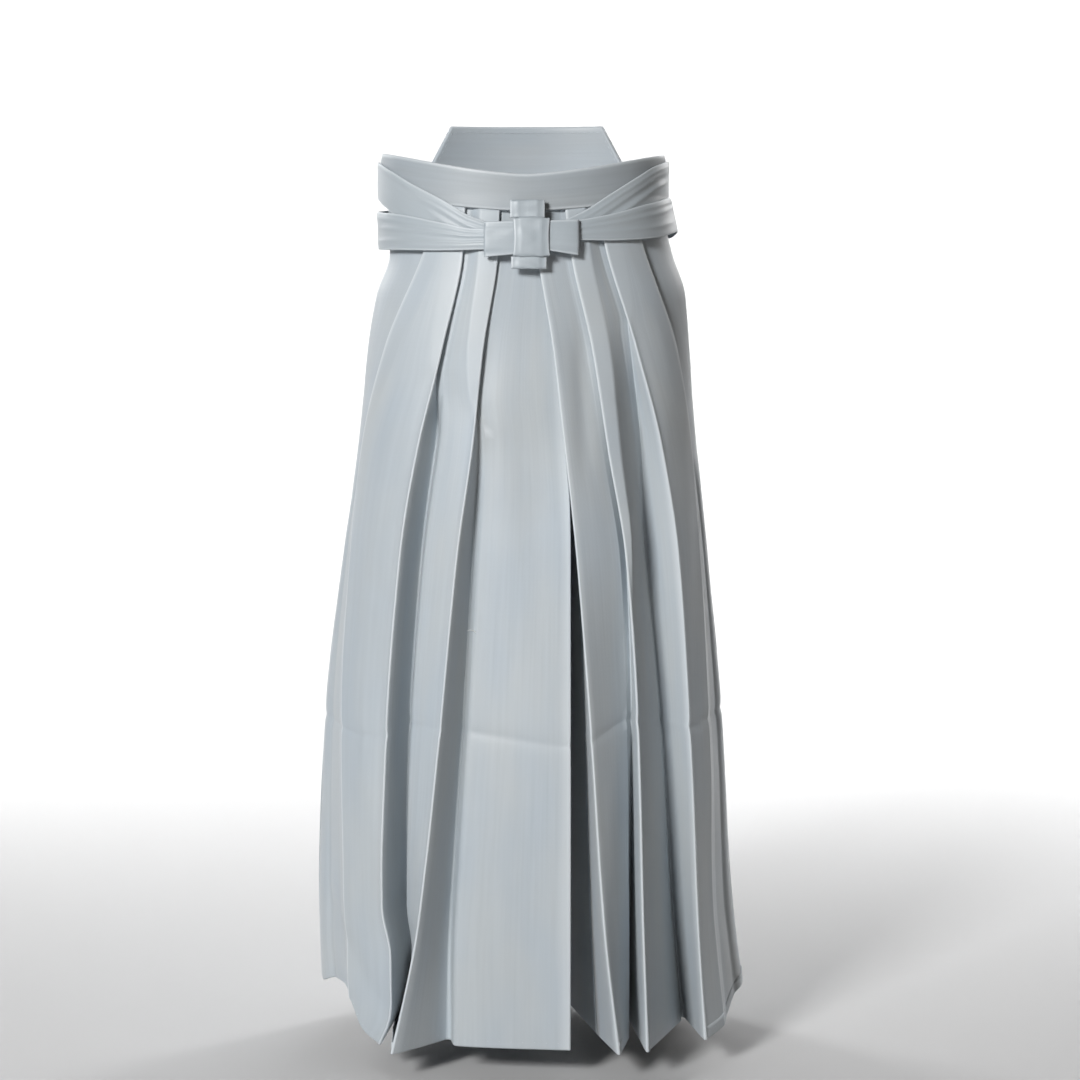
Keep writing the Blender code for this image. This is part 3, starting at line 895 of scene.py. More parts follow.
# %% [markdown]
# ## Places round the waist
# The band and the ties follow the body's oval at the waist. A place there is an angle from the front
# middle, a height and a distance out from the cloth, which is how many layers lie under it.

# %% Waist places
def around(turn, z, outward):
    """A point in mm round the waist: turn is degrees from the front middle, positive to the left side."""
    angle = math.radians(turn)
    side = -1 if math.sin(angle) < 0 else 1
    below = max(0.0, -z)
    half = half_width(side, below)
    deep = BODY("front" if math.cos(angle) > 0 else "back", below)
    out = half * abs(math.sin(angle)) ** (2 / power(below))
    at = Vector((out, deep * math.cos(angle)))
    away = Vector((at.x / half ** 2, at.y / deep ** 2)).normalized()
    at += away * outward
    return Vector((side * at.x, -at.y, z))


def front_point(x, z, outward):
    """A point in mm in front of the middle of the waist."""
    side = -1 if x < 0 else 1
    below = max(0.0, -z)
    deep = oval(abs(x), half_width(side, below), BODY("front", below), below)
    return Vector((x, -deep - outward, z))


# %% [markdown]
# ## The front waistband
# The pleats' heads are sewn into a band that is a strip folded over a stiff core. Its upper edge is a
# fold, so it is round and catches the light in one thin line. It dips in the middle and rises to the
# hips, where the ties start.

# %% Front waistband
BAND_THICK = 2.8
BAND_OUT = 0.9
BAND_HALF_TURN = 78.0
BAND_STEPS = 110
BAND_ACROSS = 16


def band_lift(along, across):
    """A flat cloth face that is a little fuller towards the upper edge, and not quite even."""
    wave = noise.noise(Vector((along * 7, across * 1.4, 3.1))) * 0.35
    rolled = 0.35 * math.exp(-((1 - across) / 0.07) ** 2)
    return (wave + rolled + 0.2) * ease(min(across, 1 - across) * 8)


def front_band_grid():
    grid = []
    for k in range(BAND_STEPS + 1):
        turn = BAND_HALF_TURN * (2 * k / BAND_STEPS - 1)
        out = around(turn, 0, 0).x
        low, high = band_low(out), band_high(out)
        row = []
        for j in range(BAND_ACROSS + 1):
            row.append(around(turn, low + (high - low) * j / BAND_ACROSS, BAND_OUT) * MM)
        grid.append(row)
    return grid


grid = front_band_grid()
# The band takes the painted shade in full.
band = ribbon("front_waistband_cloth", grid, BAND_THICK, band_lift, turned=1.0)
keep_piece(band, "front_waistband", grid, "folded")

# %% [markdown]
# ## The back board
# The board is a stiff trapezoid covered with the same silk. It is narrower at its top, follows the
# back and leans in to it, and the backs' pleats are sewn to its lower edge.

# %% Back board
BOARD_THICK = 4.8
BOARD_TALL = 85.0
BOARD_HALF_LOW = 134.0
BOARD_HALF_HIGH = 90.0
BOARD_IN = 2.0
BOARD_LEAN = 5.0
BOARD_STEPS = 70
BOARD_ACROSS = 20


def board_point(share, x_share):
    half = BOARD_HALF_LOW + (BOARD_HALF_HIGH - BOARD_HALF_LOW) * share
    x = half * x_share
    side = -1 if x < 0 else 1
    deep = oval(abs(x), half_width(side, 0), BODY("back", 0), 0) - BOARD_IN - BOARD_LEAN * share ** 2
    return Vector((x, deep, BOARD_TALL * share)) * MM


def board_lift(along, across):
    """Cloth drawn over the board: flat, with a soft pull towards its corners."""
    wave = noise.noise(Vector((along * 5, across * 3, 7.7))) * 0.4
    return wave * ease(min(across, 1 - across, along, 1 - along) * 8)


grid = []
for k in range(BOARD_STEPS + 1):
    x_share = 1 - 2 * k / BOARD_STEPS
    grid.append([board_point(j / BOARD_ACROSS, x_share) for j in range(BOARD_ACROSS + 1)])
board = ribbon("back_board_cloth", grid, BOARD_THICK, board_lift)
keep_piece(board, "back_board", grid, "stretched")

# %% [markdown]
# ## The ties
# Two long ties start at the front band, pass round the back under the board and come forward again
# to the knot. Two short ones start at the board's corners and come down to the same knot. Near the
# knot a tie is pulled together: it grows narrow, and its cloth rises in soft lengthwise ridges.

# %% Tie courses
FRONT_TIE_LEFT = Table(
    "place turn z outward width",
    (0, 78.7, 23, 0.9, 40),
    (0.4, 85, 23, 0.7, 40),
    (1, 95, 20, 0, 39),
    (2, 112, 14, -11, 38),
    (3, 145, 4, -11, 38),
    (4, 180, -8, -11, 38),
    (5, 215, -20, -11, 38),
    (6, 248, -30, -11, 38),
    (7, 264, -35, -2, 40),
    (8, 280, -38, 6.6, 41),
    (9, 305, -41, 6.6, 38),
    (10, 330, -47, 6.6, 29),
    (11, 343, -50, 6.6, 22),
    (12, 356, -50, 6.6, 20),
)
FRONT_TIE_RIGHT = Table(
    "place turn z outward width",
    (0, -78.7, 23, 0.9, 40),
    (0.4, -85, 23, 0.7, 40),
    (1, -95, 20, 0, 39),
    (2, -112, 14, -14.5, 38),
    (3, -145, 4, -14.5, 38),
    (4, -180, -8, -14.5, 38),
    (5, -215, -18, -14.5, 38),
    (6, -248, -28, -14.5, 38),
    (7, -264, -26, -2, 37),
    (8, -280, -20, 6.6, 37),
    (9, -305, -28, 6.6, 36),
    (10, -330, -37, 6.6, 27),
    (11, -343, -40, 6.6, 21),
    (12, -354, -41, 6.6, 20),
)
BACK_TIE_RIGHT = Table(
    "place turn z outward width",
    (0, -7, -48, 4.1, 22),
    (1, -20, -40, 4.1, 31),
    (2, -34, -24, 4.1, 39),
    (3, -50, -8, 4.1, 42),
    (4, -66, 8, 4.1, 41),
    (5, -86, 19, 4.1, 40),
    (6, -105, 21, 2.6, 38),
    (7, -126, 20, -2, 36),
)
BACK_TIE_LEFT = Table(
    "place turn z outward width",
    (0, 9, -44, 4.1, 20),
    (1, 20, -34, 4.1, 27),
    (2, 34, -16, 4.1, 31),
    (3, 50, 2, 4.1, 35),
    (4, 66, 15, 4.1, 38),
    (5, 86, 20, 4.1, 40),
    (6, 105, 21, 2.6, 38),
    (7, 121.8, 20, -2, 36),
)

# %% [markdown]
# A tie's ridges are short lines too, from one place along and across the tie to another. "step" gives
# a ridge one steep side, as where a folded layer ends on top of another.

# %% Ridges on the ties
TIE_RIDGES = {
    "back_tie_right": Table(
        "start across_start end across_end width height step",
        (0.0, 0.30, 0.32, 0.55, 0.07, 1.0, 0),
        (0.0, 0.62, 0.40, 0.80, 0.06, 0.9, 0),
        (0.0, 0.86, 0.62, 0.93, 0.05, 0.6, 1),
        (0.05, 0.14, 0.45, 0.20, 0.06, 0.6, 0),
    ),
    "back_tie_left": Table(
        "start across_start end across_end width height step",
        (0.0, 0.46, 0.70, 0.74, 0.05, 1.1, 1),
        (0.0, 0.74, 0.66, 0.90, 0.05, 0.8, 0),
        (0.10, 0.20, 0.62, 0.44, 0.09, 1.7, 0),
        (0.0, 0.08, 0.40, 0.14, 0.05, 0.5, 0),
    ),
    "front_tie_left": Table(
        "start across_start end across_end width height step",
        (0.66, 0.22, 1.0, 0.40, 0.06, 0.8, 0),
        (0.70, 0.60, 1.0, 0.66, 0.07, 0.9, 0),
        (0.78, 0.13, 1.0, 0.20, 0.04, 0.7, 1),
        (0.62, 0.86, 0.95, 0.84, 0.06, 0.6, 0),
    ),
    "front_tie_right": Table(
        "start across_start end across_end width height step",
        (0.68, 0.70, 1.0, 0.62, 0.07, 0.8, 0),
        (0.72, 0.30, 1.0, 0.36, 0.07, 0.8, 0),
        (0.64, 0.90, 0.90, 0.86, 0.05, 0.7, 1),
    ),
}


def tie_lift(name):
    """The ridges of one tie as a function of the places along and across it."""
    ridges = TIE_RIDGES[name].named()

    def lift(along, across):
        raised = 0.15 + 0.3 * noise.noise(Vector((along * 9, across * 1.7, len(name))))
        for row in ridges:
            share = (along - row["start"]) / (row["end"] - row["start"])
            if not -0.15 < share < 1.15:
                continue
            at = row["across_start"] + (row["across_end"] - row["across_start"]) * share
            off = (across - at) / row["width"]
            ends = ease((share + 0.15) / 0.3) if row["start"] > 0 else 1.0
            ends *= ease((1.15 - share) / 0.3) if row["end"] < 1 else 1.0
            shape = math.exp(-off * off)
            if row["step"] and off > 0:
                shape = math.exp(-((off / 4) ** 2))
            raised += row["height"] * ends * shape
        return max(0.0, raised) * ease(min(across, 1 - across) * 9)

    return lift


# %% Build the ties
TIE_THICK = 1.8
TIE_ACROSS = 22
TIES = (
    ("front_tie_left", FRONT_TIE_LEFT, 200),
    ("front_tie_right", FRONT_TIE_RIGHT, 200),
    ("back_tie_right", BACK_TIE_RIGHT, 90),
    ("back_tie_left", BACK_TIE_LEFT, 90),
)


def tie_grid(stops, steps):
    """Rows across a flat tie that lies along the waist."""
    last = stops.rows[-1][0]
    way = 1 if stops.rows[-1][1] > stops.rows[0][1] else -1

    def centre(place):
        return around(stops("turn", place), stops("z", place), stops("outward", place))

    grid = []
    for k in range(steps + 1):
        place = last * k / steps
        turn, z, outward, width = (stops(column, place) for column in ("turn", "z", "outward", "width"))
        along = centre(min(place + 0.05, last)) - centre(max(place - 0.05, 0))
        level = math.hypot(along.x, along.y)
        per_degree = (around(turn + 0.5, z, outward) - around(turn - 0.5, z, outward)).length
        row = []
        for j in range(TIE_ACROSS + 1):
            off = width * (j / TIE_ACROSS - 0.5)
            turned = turn - way * off * along.z / along.length / per_degree
            row.append(around(turned, z + off * level / along.length, outward) * MM)
        grid.append(row)
    return grid if way > 0 else grid[::-1]


for node, stops, steps in TIES:
    grid = tie_grid(stops, steps)
    backwards = stops.rows[-1][1] < stops.rows[0][1]
    lift = tie_lift(node)
    if backwards:
        made = ribbon(node + "_cloth", grid, TIE_THICK, lambda along, across: lift(1 - along, across))
    else:
        made = ribbon(node + "_cloth", grid, TIE_THICK, lift)
    keep_piece(made, node, grid, "folded")

# %% [markdown]
# ## The knot
# The ends of the ties are folded to and fro into a flat bar, and the last stretch is wrapped round its
# middle, which gives a cross of four short arms. Each arm is a folded loop with a round outer end.
# The wrap stands proud of them all and turns back at its top and foot.

# %% Knot pieces
LOOP_THICK = 1.7
LOOP_OUT = 9.2
LOOP_GAP = 4.5
LOOP_SEAT = 1.3
WRAP_OUT = 16.0
KNOT_WRAP_X = (-13.3, 25.5)
KNOT_WRAP_Z = (-68.0, -28.0)
LOOP_ACROSS = 18
LOOP_STRAIGHT = 12
LOOP_BEND = 10
KNOT_FULL = 1.5
KNOT_SEAM_AT = 0.1
KNOT_SEAM_WIDE = 0.03
KNOT_SEAM_DEEP = 0.4
FRONT_LAYER = 0.5
WHOLE_WRAP = 1.2
WRAP_DEEP = 6.5
WRAP_CORNER = 1.8
WRAP_STEPS = 16
WRAP_BULGE = 0.8
WRAP_NARROW = 1.2


def hairpin(length, gap):
    """(along, outward): out along one layer from its open end, round the fold and back along the other."""
    radius = gap / 2
    line = [((length - radius) * k / LOOP_STRAIGHT, 0.0) for k in range(LOOP_STRAIGHT)]
    for k in range(LOOP_BEND + 1):
        angle = math.pi * k / LOOP_BEND - math.pi / 2
        line.append((length - radius + radius * math.cos(angle), radius + radius * math.sin(angle)))
    line.extend(((length - radius) * (1 - k / LOOP_STRAIGHT), gap) for k in range(1, LOOP_STRAIGHT + 1))
    return line


def loop_lift(seed, front):
    """A loop's front is full between its edges, with the line where the tie's seam is pressed."""

    def lift(along, across):
        edge = min(across, 1 - across)
        soft = 0.6 + 0.7 * noise.noise(Vector((along * 5, across * 2.5, seed)))
        seam = KNOT_SEAM_DEEP * math.exp(-(((edge - KNOT_SEAM_AT) / KNOT_SEAM_WIDE) ** 2))
        shown = ease((front - along) / 0.1)
        return max(0.0, KNOT_FULL * soft * ease(edge * 4) - seam) * shown

    return lift


def side_loop_grid(inner, outer, inner_z, outer_z):
    """A folded loop across the knot: low and high ends of its heights at the inner and outer x."""
    length = abs(outer - inner)
    way = 1 if outer > inner else -1
    grid = []
    for along, out in hairpin(length, LOOP_GAP):
        share = along / length
        low = inner_z[0] + (outer_z[0] - inner_z[0]) * share
        high = inner_z[1] + (outer_z[1] - inner_z[1]) * share
        row = []
        for k in range(LOOP_ACROSS + 1):
            z = low + (high - low) * k / LOOP_ACROSS
            row.append(front_point(inner + way * along, z, LOOP_OUT + out) * MM)
        grid.append(row if way > 0 else row[::-1])
    return grid[::-1]


def upright_loop_grid(x_low, x_high, start, end, gap):
    """A folded loop that stands up, or a tail that hangs down, from start to end."""
    way = 1 if end > start else -1
    grid = []
    for along, out in hairpin(abs(end - start), gap):
        row = []
        for k in range(LOOP_ACROSS + 1):
            x = x_low + (x_high - x_low) * k / LOOP_ACROSS
            row.append(front_point(x, start + way * along, LOOP_OUT + out) * MM)
        grid.append(row[::-1] if way > 0 else row)
    return grid[::-1]


def wrap_grid():
    """The stretch of tie round the middle of the knot: its face, and its top and foot turned back."""
    low, high = KNOT_WRAP_Z
    back = WRAP_OUT - WRAP_DEEP
    corner = WRAP_CORNER
    line = [(low, back), (low, WRAP_OUT - corner)]
    for k in range(1, 5):
        angle = math.pi / 2 * k / 5
        line.append((low + corner * (1 - math.cos(angle)), WRAP_OUT - corner * (1 - math.sin(angle))))
    for k in range(WRAP_STEPS + 1):
        share = k / WRAP_STEPS
        bulge = WRAP_BULGE * math.sin(math.pi * share)
        line.append((low + corner + (high - low - 2 * corner) * share, WRAP_OUT + bulge))
    for k in range(4, 0, -1):
        angle = math.pi / 2 * k / 5
        line.append((high - corner * (1 - math.cos(angle)), WRAP_OUT - corner * (1 - math.sin(angle))))
    line.extend([(high, WRAP_OUT - corner), (high, back)])
    grid = []
    for z, out in line:
        narrow = WRAP_NARROW * math.sin(math.pi * (z - low) / (high - low))
        row = []
        for k in range(LOOP_ACROSS + 1):
            x = KNOT_WRAP_X[0] + narrow + (KNOT_WRAP_X[1] - KNOT_WRAP_X[0] - 2 * narrow) * k / LOOP_ACROSS
            row.append(front_point(x, z, out) * MM)
        grid.append(row)
    return grid[::-1]


KNOT = (
    ("knot_wrap", wrap_grid()),
    ("knot_loop_right", side_loop_grid(-3.0, -45.5, (-65.0, -31.0), (-69.0, -32.0))),
    ("knot_loop_left", side_loop_grid(15.0, 57.7, (-60.5, -31.0), (-67.0, -29.5))),
    ("knot_loop_upper", upright_loop_grid(-16.6, 20.0, KNOT_WRAP_Z[1] + LOOP_SEAT, -8.0, 3.6)),
    ("knot_tail_lower", upright_loop_grid(-15.5, 22.0, KNOT_WRAP_Z[0] - LOOP_SEAT, -82.0, 3.0)),
)
for seed, (node, grid) in enumerate(KNOT):
    lift = loop_lift(seed * 3.7, WHOLE_WRAP if node == "knot_wrap" else FRONT_LAYER)
    keep_piece(ribbon(node + "_cloth", grid, LOOP_THICK, lift), node, grid, "folded")

# %% [markdown]
# ## Materials
# The cloth is silk in a close plain weave with a ribbed face, calendered and pressed. Silk fibre is
# smooth and three-sided, so the cloth is half matt and half lustrous: a broad soft highlight, a sheen
# at grazing angles and faint streaks along the warp where a thread is thicker. A thin line of painted
# highlight lies along each pressed fold, and the band's colour carries a painted shade. Its index of
# refraction is about 1.54.

# %% Material helpers
def linear(code):
    """An sRGB hex colour as linear red, green, blue and alpha."""
    values = []
    for k in (1, 3, 5):
        value = int(code[k : k + 2], 16) / 255
        values.append(value / 12.92 if value <= 0.04045 else ((value + 0.055) / 1.055) ** 2.4)
    return (*values, 1.0)


def add_node(tree, kind, settings=None, inputs=None, links=None):
    """A node with its settings, its input values, and links into it from (node, output) pairs."""
    node = tree.nodes.new(kind)
    for name, value in (settings or {}).items():
        setattr(node, name, value)
    for name, value in (inputs or {}).items():
        node.inputs[name].default_value = value
    for name, (source, output) in (links or {}).items():
        tree.links.new(source.outputs[output], node.inputs[name])
    return node


# %% [markdown]
# The silk's patterns are placed by the flat UVs, in metres: 1 / 0.0008 repeats a metre is a thread
# every 0.8 mm. Real threads are 0.3 mm apart, too fine to show from a step away, so they are drawn
# coarser and very shallow. Slubs are 5 mm wide and 180 mm long.

# %% Silk
THREAD_MM = 0.8
SLUB_MM = (5.0, 180.0)
CLOUD_MM = (60.0, 160.0)
SILK_IOR = 1.54
# Painted shade: the band's colour is darkened by this share. The band shows darker than the panels in
# the photo. This share was chosen to match its tone there.
BAND_PAINTED_SHADE = 0.24


def silk(name, cool, warm, painted_highlight_colour, roughness):
    """A ribbed silk: cool and warm are its shades; the third colour is a painted highlight along pressed
    folds.
    """
    made = bpy.data.materials.new(name)
    made.use_nodes = True
    tree = made.node_tree
    shader = tree.nodes["Principled BSDF"]
    flat = add_node(tree, "ShaderNodeUVMap", {"uv_map": "flat"})
    slub_scale = (1000 / SLUB_MM[0], 1000 / SLUB_MM[1], 1)
    slub_place = add_node(
        tree, "ShaderNodeMapping", inputs={"Scale": slub_scale}, links={"Vector": (flat, 0)}
    )
    slub = add_node(
        tree, "ShaderNodeTexNoise", inputs={"Scale": 1.0, "Detail": 3.0}, links={"Vector": (slub_place, 0)}
    )
    cloud_scale = (1000 / CLOUD_MM[0], 1000 / CLOUD_MM[1], 1)
    cloud_place = add_node(
        tree, "ShaderNodeMapping", inputs={"Scale": cloud_scale}, links={"Vector": (flat, 0)}
    )
    cloud = add_node(
        tree, "ShaderNodeTexNoise", inputs={"Scale": 1.0, "Detail": 2.0}, links={"Vector": (cloud_place, 0)}
    )
    shade = add_node(
        tree, "ShaderNodeMapRange", inputs={"From Min": 0.3, "From Max": 0.7}, links={"Value": (cloud, 0)}
    )
    base = add_node(
        tree,
        "ShaderNodeMix",
        {"data_type": "RGBA"},
        {"A": linear(cool), "B": linear(warm)},
        {"Factor": (shade, 0)},
    )
    streak = add_node(
        tree,
        "ShaderNodeMapRange",
        inputs={"From Min": 0.3, "From Max": 0.7, "To Min": 0.97, "To Max": 1.03},
        links={"Value": (slub, 0)},
    )
    # Painted shade: the turned attribute, 1 on the band, darkens the colour by the share above.
    across = add_node(tree, "ShaderNodeAttribute", {"attribute_name": "turned"})
    streak_and_painted_band_shade = add_node(
        tree,
        "ShaderNodeMath",
        {"operation": "MULTIPLY_ADD"},
        {1: -BAND_PAINTED_SHADE},
        {0: (across, "Fac"), 2: (streak, 0)},
    )
    streaked = add_node(
        tree,
        "ShaderNodeVectorMath",
        {"operation": "SCALE"},
        links={"Vector": (base, "Result"), "Scale": (streak_and_painted_band_shade, 0)},
    )
    # Painted highlight: along pressed folds and ribbon edges the colour is mixed towards the highlight
    # colour.
    fold = add_node(tree, "ShaderNodeAttribute", {"attribute_name": "pressed"})
    painted_highlight_share = add_node(
        tree, "ShaderNodeMath", {"operation": "MULTIPLY"}, {1: 0.45}, {0: (fold, "Fac")}
    )
    coloured = add_node(
        tree,
        "ShaderNodeMix",
        {"data_type": "RGBA"},
        {"B": linear(painted_highlight_colour)},
        {"Factor": (painted_highlight_share, 0), "A": (streaked, 0)},
    )
    threads = []
    for direction in ("X", "Y"):
        threads.append(
            add_node(
                tree,
                "ShaderNodeTexWave",
                {"wave_type": "BANDS", "bands_direction": direction},
                {"Scale": 1000 / THREAD_MM / 20, "Distortion": 0.4, "Detail": 1.0},
                {"Vector": (flat, 0)},
            )
        )
    weave = add_node(
        tree, "ShaderNodeMath", {"operation": "MULTIPLY"}, links={0: (threads[0], 1), 1: (threads[1], 1)}
    )
    thread_bump = add_node(
        tree, "ShaderNodeBump", inputs={"Strength": 0.12, "Distance": 0.0002}, links={"Height": (weave, 0)}
    )
    slub_bump = add_node(
        tree,
        "ShaderNodeBump",
        inputs={"Strength": 0.25, "Distance": 0.0006},
        links={"Height": (slub, 0), "Normal": (thread_bump, 0)},
    )
    gloss = add_node(
        tree,
        "ShaderNodeMapRange",
        inputs={"From Min": 0.3, "From Max": 0.7, "To Min": roughness - 0.05, "To Max": roughness + 0.05},
        links={"Value": (slub, 0)},
    )
    tree.links.new(coloured.outputs["Result"], shader.inputs["Base Color"])
    tree.links.new(gloss.outputs[0], shader.inputs["Roughness"])
    tree.links.new(slub_bump.outputs[0], shader.inputs["Normal"])
    shader.inputs["IOR"].default_value = SILK_IOR
    shader.inputs["Sheen Weight"].default_value = 0.2
    shader.inputs["Sheen Roughness"].default_value = 0.4
    return made


PANEL_SILK = silk("ribbed_silk_panels", "#ADB6BD", "#B4BABD", "#DDE2E5", 0.50)
TIE_SILK = silk("ribbed_silk_ties", "#A2ABB1", "#AAB1B5", "#D6DCE0", 0.46)
BOARD_SILK = silk("ribbed_silk_board", "#AAB3BA", "#B1B7BB", "#D6DCE0", 0.50)
SLOT_SILK = {"panel_cloth": PANEL_SILK, "tie_cloth": TIE_SILK, "board_cloth": BOARD_SILK}
print("materials:", [material.name for material in SLOT_SILK.values()])

# %% [markdown]
# ## Sewing
# Such trousers are sewn by hand with silk thread. Running stitches hold the board's cover near its
# edge, a bar of thread across the end of each side slit keeps it from tearing, tiny stitches run
# along the turned-up hem, and one end of white basting thread was left in the front. A stitch is a
# short thread that comes out of the cloth, lies on it and goes in again.

# %% Stitches
THREAD_THICK = 0.5
STITCH_SIDES = 6
TWIST_MM = 0.6
# Length and gap of the running stitches on the board and of the small ones in the hem.
BOARD_STITCH = (4, 4)
HEM_STITCH = (1.2, 12)
# The row of a panel that the hem stitches follow, counted back from its turned-up edge.
HEM_STITCH_ROW = -8


def stitch_rings(start, end, outward):
    """Rings of points round one stitch, whose ends dip into the cloth."""
    run = end - start
    across = run.cross(outward).normalized()
    rings = []
    for share in (0.0, 0.15, 0.5, 0.85, 1.0):
        middle = start + run * share + outward * THREAD_THICK * MM * (2.4 * share * (1 - share) - 0.3)
        ring = []
        for k in range(STITCH_SIDES):
            angle = math.tau * k / STITCH_SIDES
            away = outward * math.sin(angle) + across * math.cos(angle)
            ring.append(middle + away * THREAD_THICK * MM / 2)
        rings.append(ring)
    return rings


def walk(path, length, gap):
    """Stitches of this length and gap in mm along a path of (point, outward) pairs."""
    made, travelled, due, start = [], 0.0, gap * MM, None
    for (here, outward), (ahead, _) in zip(path, path[1:]):
        run = (ahead - here).length
        while run > 0 and due <= travelled + run:
            at = here + (ahead - here) * (due - travelled) / run
            if start is None:
                start, due = at, due + length * MM
            else:
                made.append((start, at, outward))
                start, due = None, due + gap * MM
        travelled += run
    return made


def sew(name, node, stitches, thread):
    """All the stitches of one kind as an object that belongs to the node's piece."""
    points, faces = [], []
    for start, end, outward in stitches:
        for i, ring in enumerate(stitch_rings(start, end, outward)):
            first = len(points)
            points.extend(ring)
            if i == 0:
                continue
            for k in range(STITCH_SIDES):
                following = (k + 1) % STITCH_SIDES
                before = first - STITCH_SIDES
                faces.append((before + k, before + following, first + following, first + k))
    mesh = bpy.data.meshes.new(name)
    mesh.from_pydata(points, [], faces)
    mesh.shade_smooth()
    mesh.materials.append(thread)
    made = bpy.data.objects.new(name, mesh)
    bpy.context.scene.collection.objects.link(made)
    made.parent = pieces[node]
    print(f"{name}: {len(stitches)} stitches")


def thread_silk(name, colour):
    """Silk thread of two twisted plies: more lustrous than the cloth, ridged by its twist."""
    made = bpy.data.materials.new(name)
    made.use_nodes = True
    tree = made.node_tree
    shader = tree.nodes["Principled BSDF"]
    place = add_node(tree, "ShaderNodeTexCoord")
    twist = add_node(
        tree,
        "ShaderNodeTexWave",
        {"wave_type": "BANDS", "bands_direction": "DIAGONAL"},
        {"Scale": 1000 / TWIST_MM / 20},
        {"Vector": (place, "Object")},
    )
    ridged = add_node(
        tree, "ShaderNodeBump", inputs={"Strength": 0.3, "Distance": 0.0001}, links={"Height": (twist, 1)}
    )
    tree.links.new(ridged.outputs[0], shader.inputs["Normal"])
    shader.inputs["Base Color"].default_value = linear(colour)
    shader.inputs["Roughness"].default_value = 0.38
    shader.inputs["IOR"].default_value = SILK_IOR
    return made


THREAD = thread_silk("silk_thread", "#C3CACF")
BASTING = thread_silk("white_basting_thread", "#F2F2EE")

# %% Sew the board, slits and hems
BOARD_EDGE_STEPS = 40
BAR_THREADS = 4
BAR_APART = 0.7
BAR_HALF = 4.5
BAR_ABOVE_END = 7
# Places along the basting thread as (x, z) on the front.
BASTING_PLACES = ((-66.0, -484.5), (-62.5, -482.0), (-58.0, -482.5), (-55.5, -484.5))

for way in (-1, 1):
    outward = Vector((0, way, 0))
    above = outward * (BOARD_THICK / 2 + 0.3) * MM
    inset = 1 - 5 / BOARD_HALF_HIGH
    corners = [(0.03, -inset), (0.94, -inset), (0.94, inset), (0.03, inset)]
    path = []
    for (share, x_share), (to_share, to_x) in zip(corners, corners[1:]):
        for k in range(BOARD_EDGE_STEPS):
            part = k / BOARD_EDGE_STEPS
            at = board_point(share + (to_share - share) * part, x_share + (to_x - x_share) * part)
            path.append((at + above, outward))
    face = "back" if way > 0 else "front"
    sew("board_stitches_" + face, "back_board", walk(path, *BOARD_STITCH), THREAD)

for node, (grid, way) in panel_grids.items():
    if node.startswith("gusset"):
        continue
    row = len(grid) + HEM_STITCH_ROW
    path = []
    for j in range(len(grid[row])):
        outward = facing_at(grid, row, j)[0] * way
        path.append((grid[row][j] + outward * CLOTH / 2 * MM, outward))
    sew(node + "_hem_stitches", node, walk(path, *HEM_STITCH), THREAD)

for side, node in ((-1, "front_right"), (1, "front_left")):
    bars = []
    for k in range(BAR_THREADS):
        below = SLIT_END - BAR_ABOVE_END + BAR_APART * k
        x = side * (half_width(side, below) + THREAD_THICK)
        front, back = Vector((x, -BAR_HALF, -below)) * MM, Vector((x, BAR_HALF, -below)) * MM
        bars.append((front, back, Vector((side, 0, 0))))
    sew(node + "_slit_bar", node, bars, THREAD)


def on_cloth(node, x, z):
    """The outermost point of a front panel near this x and z in mm."""
    near = []
    for row in panel_grids[node][0]:
        near.extend(at for at in row if abs(at.x - x * MM) < 0.004 and abs(at.z - z * MM) < 0.006)
    return Vector((x * MM, min(at.y for at in near) - CLOTH / 2 * MM, z * MM))


left_in = []
for start, end in zip(BASTING_PLACES, BASTING_PLACES[1:]):
    left_in.append((on_cloth("front_right", *start), on_cloth("front_right", *end), Vector((0, -1, 0))))
sew("basting_thread", "front_right", left_in, BASTING)

# %% [markdown]
# ## Dressing the frame
# Each piece stands for its node, takes its finish from that node's slot and moves with the one body.

# %% Ride, replace and slot
SLOT_OF = {"back_board": "board_cloth"}
for node in flat_sizes:
    if "tie" in node or "knot" in node:
        SLOT_OF[node] = "tie_cloth"
for node, piece in pieces.items():
    slot = SLOT_OF.get(node, "panel_cloth")
    piece.data.materials.append(SLOT_SILK[slot])
    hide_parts(node)
    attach(piece, "root")
print("pieces:", len(pieces))

# %% [markdown]
# ## The studio
# A pale floor curves up into a backdrop. The key light is a metre wide and stands at the front left,
# so that the pleats are lit from one side. Light from the other sides is weak, because pale cloth
# throws it on from fold to fold, and the floor is grey for the same reason. Two lamps behind the
# garment light the backdrop.

# %% Floor and backdrop
FLOOR_Z = -0.985
FLOOR_HALF = 6.0
CURVE_RADIUS = 1.2
BACKDROP_Y = 3.0
BACKDROP_HIGH = 5.0


def paper():
    """Matt pale grey seamless paper: no gloss, and nothing to see but its tone."""
    made = bpy.data.materials.new("seamless_paper")
    made.use_nodes = True
    shader = made.node_tree.nodes["Principled BSDF"]
    shader.inputs["Base Color"].default_value = linear("#C2C2C2")
    shader.inputs["Roughness"].default_value = 0.9
    return made


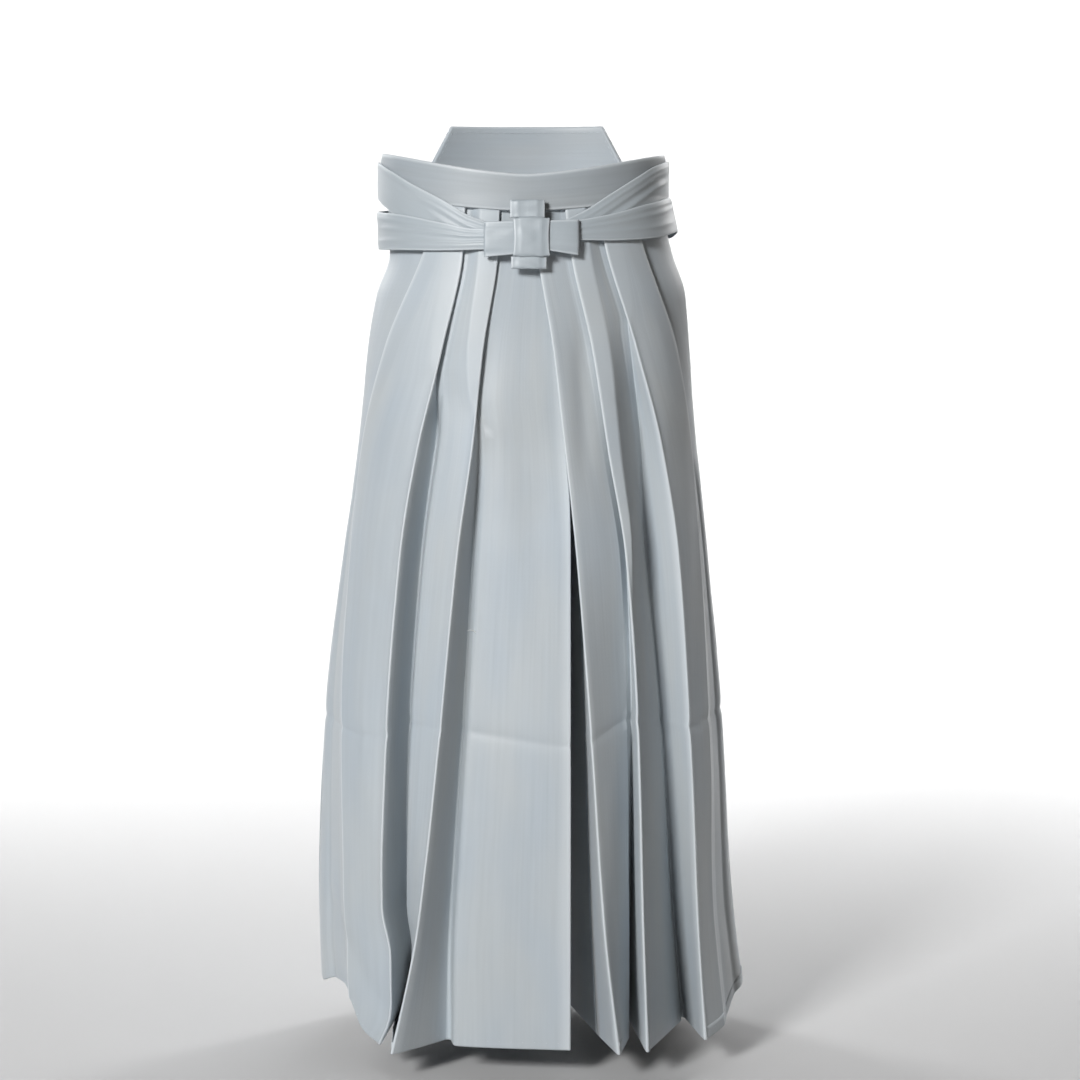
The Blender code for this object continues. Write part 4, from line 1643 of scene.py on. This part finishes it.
profile = [(-FLOOR_HALF, FLOOR_Z), (BACKDROP_Y - CURVE_RADIUS, FLOOR_Z)]
for k in range(1, 13):
    angle = math.pi / 2 * k / 12
    y = BACKDROP_Y - CURVE_RADIUS + CURVE_RADIUS * math.sin(angle)
    profile.append((y, FLOOR_Z + CURVE_RADIUS * (1 - math.cos(angle))))
profile.append((BACKDROP_Y, FLOOR_Z + BACKDROP_HIGH))
points = [(x, y, z) for y, z in profile for x in (-FLOOR_HALF, FLOOR_HALF)]
faces = [(2 * k, 2 * k + 1, 2 * k + 3, 2 * k + 2) for k in range(len(profile) - 1)]
mesh = bpy.data.meshes.new("floor")
mesh.from_pydata(points, [], faces)
mesh.shade_smooth()
floor = bpy.data.objects.new("floor", mesh)
bpy.context.scene.collection.objects.link(floor)
floor.data.materials.append(paper())

# %% Lights
LIGHTS = (
    ("key", (-2.1, -4.05, 1.5), 1.0, 232, "#FFFFFF"),
    ("side", (-3.2, -1.6, 0.3), 1.2, 1.5, "#C9DCFF"),
    ("fill", (3.0, -1.9, 0.3), 1.2, 4, "#FFD9B0"),
    ("top", (0.0, 0.4, 2.4), 1.8, 6, "#F8FAFF"),
    ("back", (0.9, 2.3, 1.3), 1.4, 12, "#F8FAFF"),
    ("backdrop_left", (-1.9, 2.0, 0.9), 1.2, 70, "#FFFFFF"),
    ("backdrop_right", (1.9, 2.0, 0.9), 1.2, 84, "#FFFFFF"),
)
WORLD_STRENGTH = 0.02
AIM = Vector((0, 0, -0.45))
BACKDROP_AIM = Vector((0, 3.0, 0))

for name, place, size, watts, colour in LIGHTS:
    light = bpy.data.lights.new(name, "AREA")
    light.size = size
    light.energy = watts
    light.color = linear(colour)[:3]
    lamp = bpy.data.objects.new(name, light)
    lamp.location = place
    aim = BACKDROP_AIM if name.startswith("backdrop") else AIM
    lamp.rotation_euler = (aim - Vector(place)).to_track_quat("-Z", "Y").to_euler()
    bpy.context.scene.collection.objects.link(lamp)
world = bpy.data.worlds.new("soft_light")
world.use_nodes = True
world.node_tree.nodes["Background"].inputs["Color"].default_value = linear("#FAFCFF")
world.node_tree.nodes["Background"].inputs["Strength"].default_value = WORLD_STRENGTH
bpy.context.scene.world = world
bpy.context.scene.view_settings.view_transform = "Standard"
